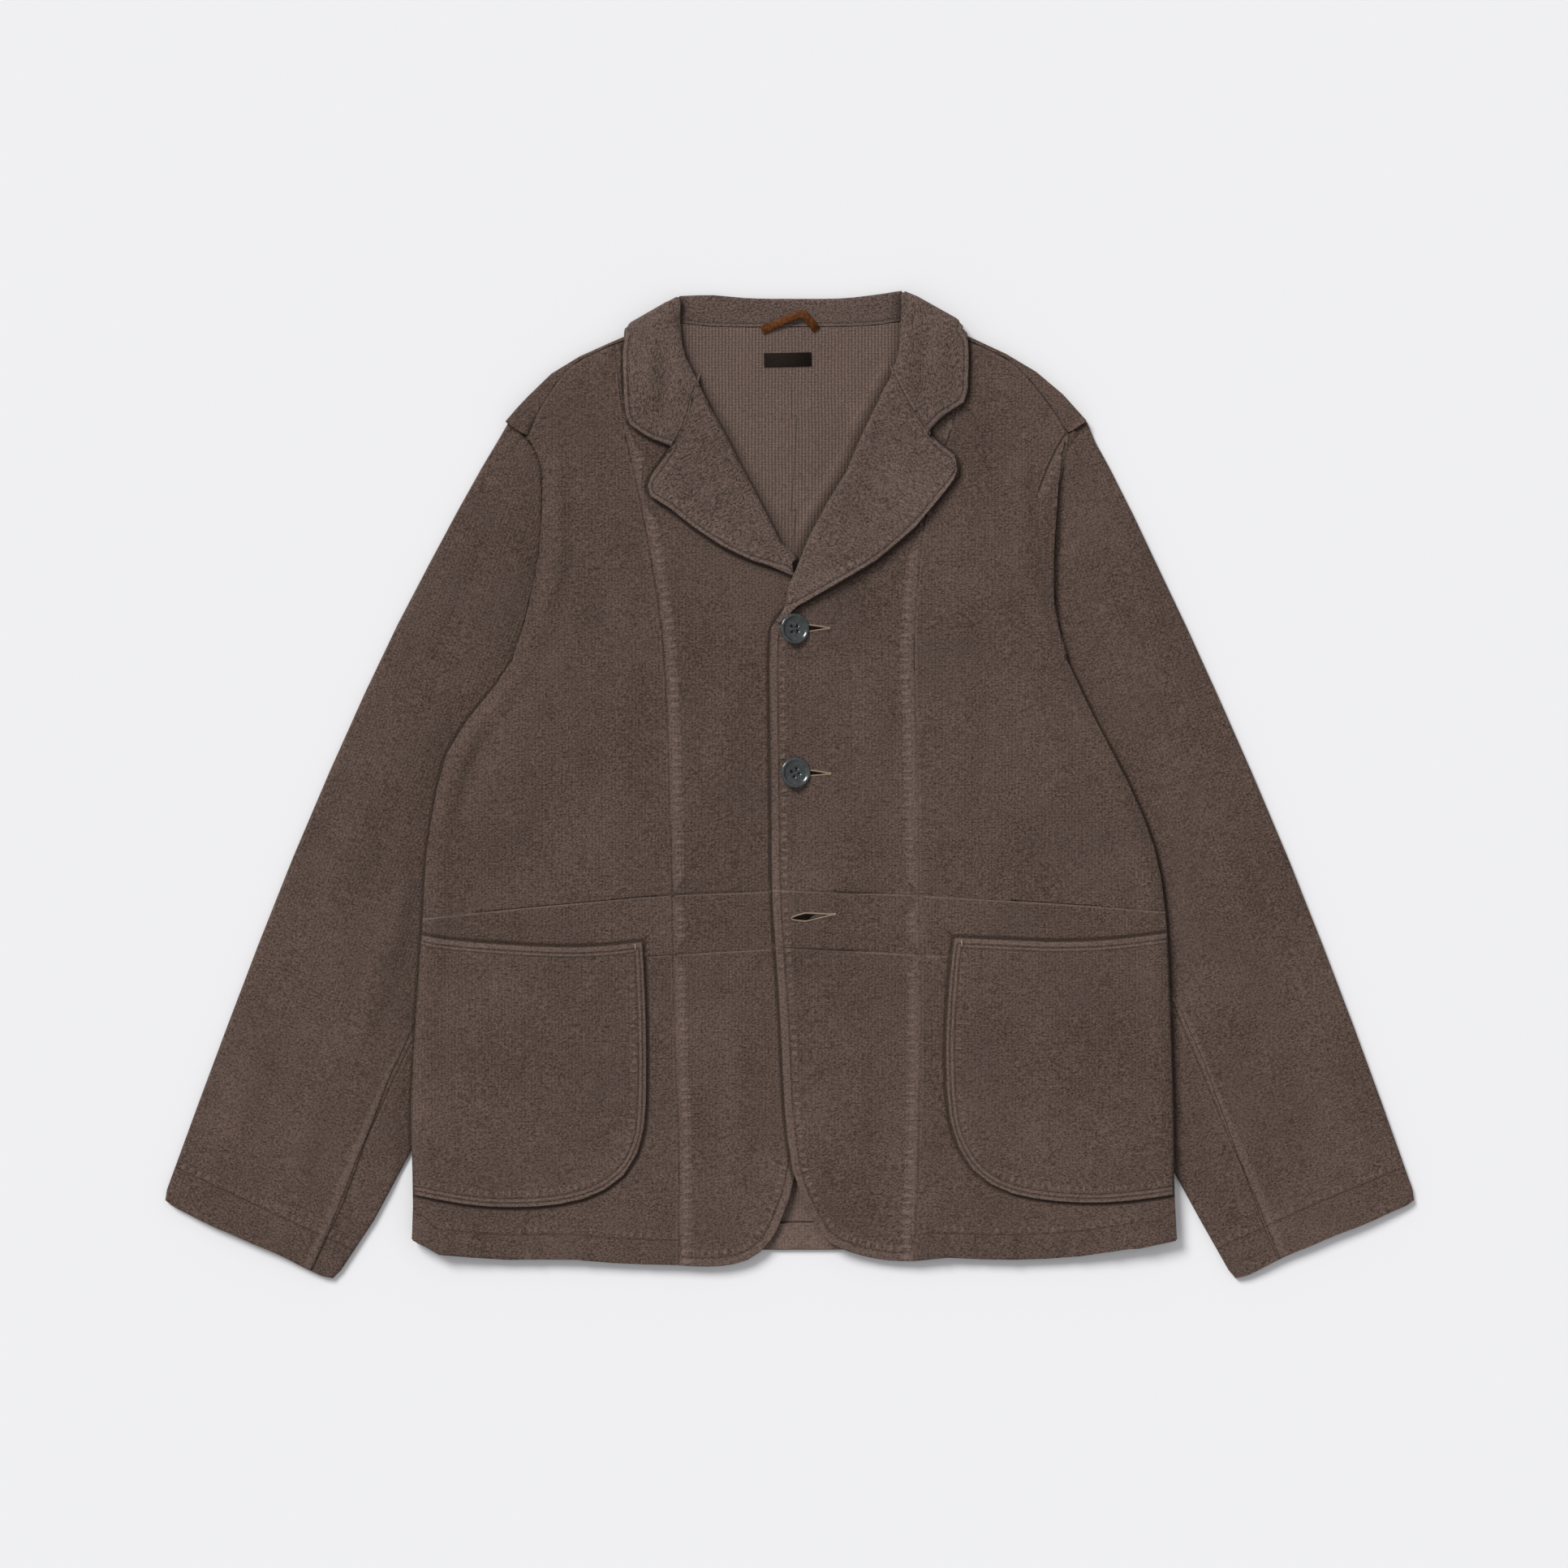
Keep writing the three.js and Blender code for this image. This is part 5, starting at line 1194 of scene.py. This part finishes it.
def loft(rings: list[list[tuple[float, float, float]]], vertices: list, faces: list) -> None:
    """Adds a closed tube through rings of points, its two ends capped."""
    base, count = len(vertices), len(rings[0])
    last = base + (len(rings) - 1) * count
    for ring in rings:
        vertices.extend(ring)
    for start in range(base, last, count):
        for n in range(count):
            a, b = start + n, start + (n + 1) % count
            faces.append((a, b, b + count, a + count))
    faces.append(tuple(base + n for n in reversed(range(count))))
    faces.append(tuple(last + n for n in range(count)))


def circle(radius: float, count: int) -> list[Point]:
    """Points spread evenly round a circle."""
    return [(radius * math.cos(2 * math.pi * n / count), radius * math.sin(2 * math.pi * n / count))
            for n in range(count)]


@dataclass(frozen=True)
class Thread:
    """Short lengths of thread laid on the cloth: the length of a stitch, the gap to the next, and its radius."""

    length: float
    gap: float
    radius: float

    def lay(self, line: Line, surface: Surface, vertices: list, faces: list, sink: float = 0.25) -> None:
        """Adds one row of stitches.

        Args:
            line: where the row runs.
            surface: the cloth it lies on.
            vertices: list that takes the new points.
            faces: list that takes the new faces.
            sink: how far a stitch's ends sink into the cloth.
        """
        pitch = self.length + self.gap
        for start in np.arange(pitch / 2, line.length - pitch, pitch):
            runs = start + self.length * np.array([0.0, 0.5, 1.0])
            rings = []
            for (x, y), (dx, dy), rise in zip(line.at(runs), line.heading(runs), (-sink, 0.12, -sink)):
                level = surface.height(x, y) + rise
                rings.append([(x - dy * out, y + dx * out, level + up) for out, up in circle(self.radius, 5)])
            loft(rings, vertices, faces)


@dataclass
class Button:
    """A four-hole button with a raised rim, and its thread.

    Args:
        name: the solid it stands for.
        x, y: its middle.
        radius, thickness: its size.
        turn: how far its holes are turned, in radians.
        lean: how far the pull of the cloth tips it, in degrees.
        dish: how deep its face lies below its rim's top.
        hole_reach, hole_radius: where its holes are and how wide.
    """

    name: str
    x: float
    y: float
    radius: float = 11.5
    thickness: float = 3.4
    turn: float = 0.2
    lean: float = 22.0
    dish: float = 1.65
    hole_reach: float = 2.6
    hole_radius: float = 1.05

    def build(self, low: float, horn: bpy.types.Material, thread: bpy.types.Material) -> bpy.types.Object:
        """Makes the button in its solid's place.

        Args:
            low: the solid's lowest height, in millimetres.
            horn: the button's material.
            thread: its thread's material.

        Returns:
            The button. Its thread is a piece of its own.
        """
        t, r = self.thickness, self.radius
        profile = [(0, 0.0), (r - 2.2, 0.0), (r - 1.0, 0.25), (r - 0.25, 1.0), (r, 1.8), (r - 0.12, 2.5),
                   (r - 0.6, 3.1), (r - 1.3, t), (r - 2.0, t - 0.1), (r - 2.6, t - 0.6), (r - 3.1, t - 1.15),
                   (r - 3.8, t - 1.5), (r - 5.2, t - 1.62), (0, t - self.dish)]
        bm = bmesh.new()
        ring = 72
        rows = [[bm.verts.new((x, y, height)) for x, y in (circle(radius, ring) if radius else [(0, 0)])]
                for radius, height in profile]
        for a, b in zip(rows, rows[1:]):
            for k in range(ring):
                corners = [a[k % len(a)], a[(k + 1) % len(a)], b[(k + 1) % len(b)], b[k % len(b)]]
                bm.faces.new(list(dict.fromkeys(reversed(corners))))
        bmesh.ops.recalc_face_normals(bm, faces=bm.faces)
        for vertex in bm.verts:
            vertex.co = Vector(((vertex.co.x + self.x) * MM, (vertex.co.y + self.y) * MM, (vertex.co.z + low) * MM))
        mesh = bpy.data.meshes.new(self.name + "_horn")
        bm.to_mesh(mesh)
        bm.free()
        mesh.materials.append(horn)
        mesh.shade_smooth()
        made = bpy.data.objects.new(self.name + "_horn", mesh)
        bpy.context.scene.collection.objects.link(made)
        self._drill(made, low)
        sewn = self._sew(low, thread)
        lean = Matrix.Rotation(math.radians(self.lean), 4, "Y")
        middle = Vector((self.x * MM, self.y * MM, (low + 1.2) * MM))
        rise = Vector((0, 0, 1.6 * MM * min(1.0, self.lean / 20)))
        lean = Matrix.Translation(middle + rise) @ lean @ Matrix.Translation(-middle)
        for part in (made, sewn):
            part.data.transform(lean)
        declare(made, self.name)
        return made

    def _hole(self, k: int) -> Point:
        """The centre of hole k."""
        angle = self.turn + math.pi / 4 + k * math.pi / 2
        return self.x + self.hole_reach * math.cos(angle), self.y + self.hole_reach * math.sin(angle)

    def _drill(self, made: bpy.types.Object, low: float) -> None:
        """Cuts the four holes."""
        for k in range(4):
            x, y = self._hole(k)
            bm = bmesh.new()
            radius = self.hole_radius * MM
            bmesh.ops.create_cone(bm, cap_ends=True, segments=20, radius1=radius, radius2=radius, depth=12 * MM)
            bmesh.ops.translate(bm, verts=bm.verts, vec=Vector((x * MM, y * MM, (low + 1.5) * MM)))
            mesh = bpy.data.meshes.new("drill")
            bm.to_mesh(mesh)
            bm.free()
            drill = bpy.data.objects.new("drill", mesh)
            bpy.context.scene.collection.objects.link(drill)
            cut = made.modifiers.new("hole", "BOOLEAN")
            cut.operation, cut.solver, cut.object = "DIFFERENCE", "EXACT", drill
            bpy.context.view_layer.objects.active = made
            bpy.ops.object.modifier_apply(modifier=cut.name)
            bpy.data.objects.remove(drill)

    def _sew(self, low: float, thread: bpy.types.Material) -> bpy.types.Object:
        """Lays two bars of thread between the holes."""
        vertices, faces = [], []
        top = low + self.thickness - self.dish
        bow = [(-0.02, -2.4), (0.04, -0.2), (0.25, 0.34), (0.5, 0.42), (0.75, 0.34), (0.96, -0.2), (1.02, -2.4)]
        for a, b in ((0, 1), (2, 3)):
            first, second = np.array(self._hole(a)), np.array(self._hole(b))
            ahead = (second - first) / np.linalg.norm(second - first)
            side = np.array([-ahead[1], ahead[0]])
            for shift in (-0.32, 0.32):
                rings = []
                for share, lift in bow:
                    x, y = first * (1 - share) + second * share + side * shift
                    rings.append([(x + side[0] * out, y + side[1] * out, top + lift + up)
                                  for out, up in circle(0.3, 6)])
                loft(rings, vertices, faces)
        sewn = new_object(self.name + "_thread", vertices, faces, thread)
        declare(sewn)
        return sewn


@dataclass
class Buttonhole:
    """A worked buttonhole: a near-black sheet of painted shade in its opening, close stitches along its lips and a bar
    at its end.

    Args:
        name: the piece's name.
        start: where it begins, at the front edge's side.
        end: where it ends.
        open: how far its lips stand apart at most.
        peak: share of its length where they do; 0 where a button holds it open.
    """

    name: str
    start: Point
    end: Point
    open: float
    peak: float = 0.0

    def _gape(self, share: float) -> float:
        """How far the lips stand apart at a share of the length."""
        closed = 0.86
        if share >= closed:
            return 0.0
        if share < self.peak:
            return self.open * (share / self.peak) ** 0.6
        return self.open * (1 - (share - self.peak) / (closed - self.peak)) ** 0.85

    def build(self, surface: Surface, thread: bpy.types.Material, dark: bpy.types.Material) -> None:
        """Works the hole on the cloth, with a near-black sheet of painted shade in its opening."""
        start, end = np.array(self.start), np.array(self.end)
        length = float(np.linalg.norm(end - start))
        ahead = (end - start) / length
        side = np.array([-ahead[1], ahead[0]])
        vertices, faces = [], []
        count = int(length / 0.62)
        section = [(-0.35, -0.6), (-0.1, 0.35), (0.4, 0.55), (0.85, 0.3), (1.15, -0.4)]
        for k in range(count + 1):
            share = k / count
            for sign in (-1, 1):
                rings = []
                for out, lift in section:
                    x, y = start + ahead * share * length + side * sign * (self._gape(share) / 2 + out)
                    z = surface.height(x, y) + lift
                    rings.append([(x + ahead[0] * 0.3 * a, y + ahead[1] * 0.3 * a, z + 0.22 * b)
                                  for a, b in circle(1.0, 4)])
                loft(rings, vertices, faces)
        made = new_object(self.name, vertices, faces, thread)
        declare(made)
        # a near-black sheet fills the opening between the lips: painted shade for the hole's shadowed inside
        rim = []
        for sign in (-1, 1):
            for k in range(17):
                share = k / 16 if sign < 0 else 1 - k / 16
                x, y = start + ahead * share * length + side * sign * (self._gape(share) / 2 + 0.1)
                rim.append((x, y, surface.height(x, y) + 0.3))
        painted_shade_sheet = new_object(self.name + "_slit", rim, [tuple(range(len(rim)))], dark)
        declare(painted_shade_sheet)


def ridge(name: str, line: Line, surface: Surface, width: float, rise: float, sewn: float,
          material: bpy.types.Material) -> bpy.types.Object:
    """A rounded fold of cloth along a seam, its sides sunk into the cloth beside it.

    Args:
        name: the piece's name.
        line: the seam.
        surface: the cloth it lies on.
        width: across the fold.
        rise: how far its middle stands above the cloth beside it.
        sewn: how deep the seam's groove is drawn along its middle.
        material: the cloth.

    Returns:
        The new object.
    """
    runs = np.arange(0.0, line.length, 1.2)
    places, ahead = line.at(runs), line.heading(runs)
    left = np.stack([-ahead[:, 1], ahead[:, 0]], axis=1)
    offsets = np.array([-0.5, -0.36, -0.17, 0.0, 0.17, 0.36, 0.5]) * width
    where = places[:, None, :] + left[:, None, :] * offsets[None, :, None]
    height = np.array([[surface.height(x, y) for x, y in row] for row in where])
    edges = np.maximum(height[:, [0, -1]], height.max(axis=1, keepdims=True) - 2.0)
    for _ in range(10):
        edges[1:-1] = (edges[:-2] + 2 * edges[1:-1] + edges[2:]) / 4
    share = (offsets / width + 0.5)[None, :]
    swell = np.sqrt(np.clip(1 - (offsets / width * 2) ** 2, 0, 1))[None, :]
    ends = smooth(np.minimum(runs, line.length - runs) / 5.0)[:, None]
    level = edges[:, :1] * (1 - share) + edges[:, 1:] * share
    level = level + (swell * (rise + 0.5) - 0.5) * (0.35 + 0.65 * ends) - 0.6 * (1 - ends)
    vertices = [(*spot, z) for row, heights in zip(where, level) for spot, z in zip(row, heights)]
    ring = len(offsets)
    faces = [(k * ring + n, (k + 1) * ring + n, (k + 1) * ring + (n + 1) % ring, k * ring + (n + 1) % ring)
             for k in range(len(runs) - 1) for n in range(ring)]
    made = new_object(name, vertices, faces, material)
    flat = np.array(vertices)
    across = np.tile(offsets, len(runs))
    seam = np.stack([across, np.repeat(runs, ring), np.zeros(len(flat))], axis=1)
    for key, values in (("grain", flat), ("edge", (NOWHERE, 0.0, 0.0)), ("rows", (NOWHERE, NO_SECOND_ROW, 0.0)),
                        ("seam", seam), ("kind", (sewn, sewn, 0.0))):
        whole = np.broadcast_to(np.asarray(values), flat.shape)
        made.data.attributes.new(key, "FLOAT_VECTOR", "POINT").data.foreach_set("vector", whole.ravel())
    return made


def strap(name: str, route: list[tuple[float, float, float]], width: float, thickness: float,
          material: bpy.types.Material) -> bpy.types.Object:
    """A flat strap along a route in millimetres, with rounded edges.

    Args:
        name: the piece's name.
        route: x, y and z of its middle.
        width: across the strap.
        thickness: through it.
        material: what it is made of.

    Returns:
        The new object.
    """
    knots = np.array(route, float)
    line = Line([tuple(p[:2]) for p in route], step=1.2)
    marks = np.concatenate([[0], np.cumsum(np.linalg.norm(np.diff(knots[:, :2], axis=0), axis=1))])
    marks *= line.length / marks[-1]
    heights = np.interp(line.run, marks, knots[:, 2])
    ahead = line.heading(line.run)
    section = [(-0.5, -0.25), (-0.42, -0.5), (0.42, -0.5), (0.5, -0.25), (0.5, 0.25), (0.42, 0.5), (0.0, 0.58),
               (-0.42, 0.5), (-0.5, 0.25)]
    rings = [[(x - dy * out * width, y + dx * out * width, height + up * thickness) for out, up in section]
             for (x, y), (dx, dy), height in zip(line.points, ahead, heights)]
    vertices, faces = [], []
    loft(rings, vertices, faces)
    return new_object(name, vertices, faces, material)


# ------------------------------------------------------------------------------------------------ the studio


@dataclass
class Studio:
    """The floor, the light and the camera, straight above.

    Args:
        middle: x and y that the camera looks at, in millimetres.
        frame_width: how much of the floor the picture spans.
        lens, sensor: the camera's focal length and sensor width.
        floor_reach: half the floor's width.
    """

    middle: Point = (-4.2, 1.8)
    frame_width: float = 1159.2
    lens: float = 100.0
    sensor: float = 36.0
    floor_reach: float = 15000.0

    def build(self) -> None:
        """Sets the whole studio up."""
        scene = bpy.context.scene
        scene.view_settings.view_transform = "Standard"
        scene.view_settings.look = "None"
        reach = self.floor_reach
        corners = [(x, y, 0) for x, y in ((-reach, -reach), (reach, -reach), (reach, reach), (-reach, reach))]
        floor = new_object("floor", corners, [(0, 1, 2, 3)], self._floor_material())
        floor.location.z = -0.0002
        world = bpy.data.worlds.new("studio")
        world.use_nodes = True
        background = world.node_tree.nodes["Background"]
        background.inputs[0].default_value = (0.97, 0.98, 1.0, 1.0)
        background.inputs[1].default_value = 0.5
        scene.world = world
        self._sun("key", (-0.88, 1.08, 1.18), spread=25.0, power=2.76)
        camera = bpy.data.cameras.new("camera")
        camera.lens, camera.sensor_width, camera.sensor_fit = self.lens, self.sensor, "HORIZONTAL"
        camera.clip_end = 20
        made = bpy.data.objects.new("camera", camera)
        height = self.frame_width * self.lens / self.sensor + 6
        made.location = (self.middle[0] * MM, self.middle[1] * MM, height * MM)
        scene.collection.objects.link(made)
        scene.camera = made

    def _floor_material(self) -> bpy.types.Material:
        """The pale floor's material."""
        g = Graph("floor")
        g.shader.inputs["Base Color"].default_value = FLOOR.rgba
        g.shader.inputs["Roughness"].default_value = 0.9
        g.shader.inputs["Specular IOR Level"].default_value = 0.0
        return g.material

    def _sun(self, name: str, place: tuple[float, float, float], spread: float, power: float) -> None:
        """A broad even light from a direction."""
        light = bpy.data.lights.new(name, "SUN")
        light.angle, light.energy = math.radians(spread), power
        made = bpy.data.objects.new(name, light)
        made.location = Vector(place)
        made.rotation_euler = (-made.location).to_track_quat("-Z", "Y").to_euler()
        bpy.context.scene.collection.objects.link(made)


@dataclass
class Jacket:
    """The whole jacket, dressed."""

    nodes: dict[str, bpy.types.Object]

    def build(self) -> None:
        """Makes the cloth, then the trims that lie on it."""
        materials: dict[str, bpy.types.Material] = {}

        def material(finish: Corduroy | Plain) -> bpy.types.Material:
            """A finish's material, built once."""
            if finish.name not in materials:
                materials[finish.name] = finish.build()
            return materials[finish.name]

        cloths = [*Fronts().pieces(), *Sleeves().pieces(), *BackAndCollar().pieces()]
        made = [cloth.build(self.nodes[cloth.node], material(cloth.finish), material(INSIDE)) for cloth in cloths]
        surface = Surface(made)
        self._stitch(cloths, surface, material(TOP_THREAD))
        for name, x, y, turn, lean in (("button_top", 3.6, 116.4, 0.1, 21.0), ("button_middle", 4.2, 10.2, 0.5, 17.0),
                                       ("button_low", 7.0, -97.0, 0.3, 0.0)):
            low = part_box(name)[0].z / MM
            Button(name, x, y, turn=turn, lean=lean).build(low, material(HORN), material(THREAD))
        # near-black material for the buttonholes' openings: painted shade
        dark = Plain("painted_shade_sheet", Shade.srgb(26, 20, 17), Shade.srgb(18, 14, 12), 1.0, 0.0).build()
        for hole in (Buttonhole("buttonhole_top", (13.0, 117.0), (29.5, 117.0), 4.4),
                     Buttonhole("buttonhole_middle", (13.5, 10.0), (30.5, 9.4), 3.6),
                     Buttonhole("buttonhole_low", (1.5, -97.4), (34, -94.4), 5.2, 0.32)):
            hole.build(surface, material(HOLE_THREAD), dark)
        self._join(surface, material(COLLAR), material(OUTER), material(HOLE_THREAD))
        self._trim(surface, material(LEATHER), material(LABEL))

    def _stitch(self, cloths: list[Cloth], surface: Surface, material: bpy.types.Material) -> None:
        """Lays real thread in the rows that show it."""
        vertices, faces = [], []
        thread = Thread(length=2.5, gap=0.7, radius=0.2)
        laid: set[tuple[float, ...]] = set()
        for cloth in cloths:
            for rim in cloth.rims:
                for distance in (rim.first, rim.second):
                    key = (*rim.line.points[0], *rim.line.points[-1], distance)
                    if rim.thread and distance < NOWHERE and key not in laid:
                        laid.add(key)
                        thread.lay(rim.line.moved(distance * rim.inside), surface, vertices, faces)
        made = new_object("topstitching", vertices, faces, material)
        declare(made)

    def _join(self, surface: Surface, collar: bpy.types.Material, cloth: bpy.types.Material,
              thread: bpy.types.Material) -> None:
        """Lays the folds along the gorges, the rolls and an armhole, and the bar tacks at the pockets' mouths."""
        # each fold's name, route, width, rise, groove, cloth and slot
        folds = [
            ("right_gorge", [*GORGE["right"], (-67.5, 306.0)], 4.4, 0.4, 1.2, collar, "collar_cloth"),
            ("left_gorge", [*GORGE["left"], (75.5, 311.5)], 4.4, 0.4, 1.2, collar, "collar_cloth"),
            ("right_roll", [(-77.3, 314), (-72.5, 305), (-69.3, 298), (-65.8, 290.5), (-61, 281.5)], 4.0, 0.3, 0.0,
             collar, "collar_cloth"),
            ("left_roll", [(81.3, 318), (79.2, 310), (76.8, 302.5), (72, 294), (67, 285)], 4.0, 0.3, 0.0,
             collar, "collar_cloth"),
            ("left_armhole", [(197.5, 226), (199.8, 237), (203, 248), (207, 256), (212, 263)], 6.5, 0.1, 0.0, cloth,
             "brushed_cloth"),
        ]
        for name, route, width, rise, sewn, material, slot in folds:
            fold = ridge(name, Line(route), surface, width, rise, sewn, material)
            declare(fold)
        for side, (x, y) in (("right", (-114.0, -116.2)), ("left", (127.0, -113.6))):
            route = [(x, y - d, surface.height(x, y - d) + 0.3) for d in (0.0, 2.4, 4.8)]
            tack = strap(side + "_tack", route, 0.8, 0.6, thread)
            declare(tack)

    def _trim(self, surface: Surface, leather: bpy.types.Material, label: bpy.types.Material) -> None:
        """Makes the hanger loop and the bare label."""
        route = [(-20.5, 337), (-13, 340.5), (-3, 345), (5.5, 348.3), (10.0, 348.6), (14.5, 344.5), (20, 337.5)]
        lifts = [0.9, 1.8, 2.8, 3.2, 3.2, 2.6, 0.9]
        raised = [(x, y, surface.height(x, y) + lift) for (x, y), lift in zip(route, lifts)]
        loop = strap("loop_tape", raised, 6.0, 1.2, leather)
        declare(loop, "hanger_loop")
        middle = 315.4
        flat = [(x, middle + 0.02 * x, surface.height(x, middle) + 0.45) for x in (-19, -8, 4, 16)]
        patch = strap("label", flat, 10.4, 0.8, label)
        declare(patch, "label_patch")


def main() -> None:
    """Builds the studio and the jacket."""
    logging.basicConfig(level=logging.INFO, format="%(message)s")
    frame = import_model()
    Studio().build()
    Jacket(frame["nodes"]).build()


if __name__ == "__main__":
    main()
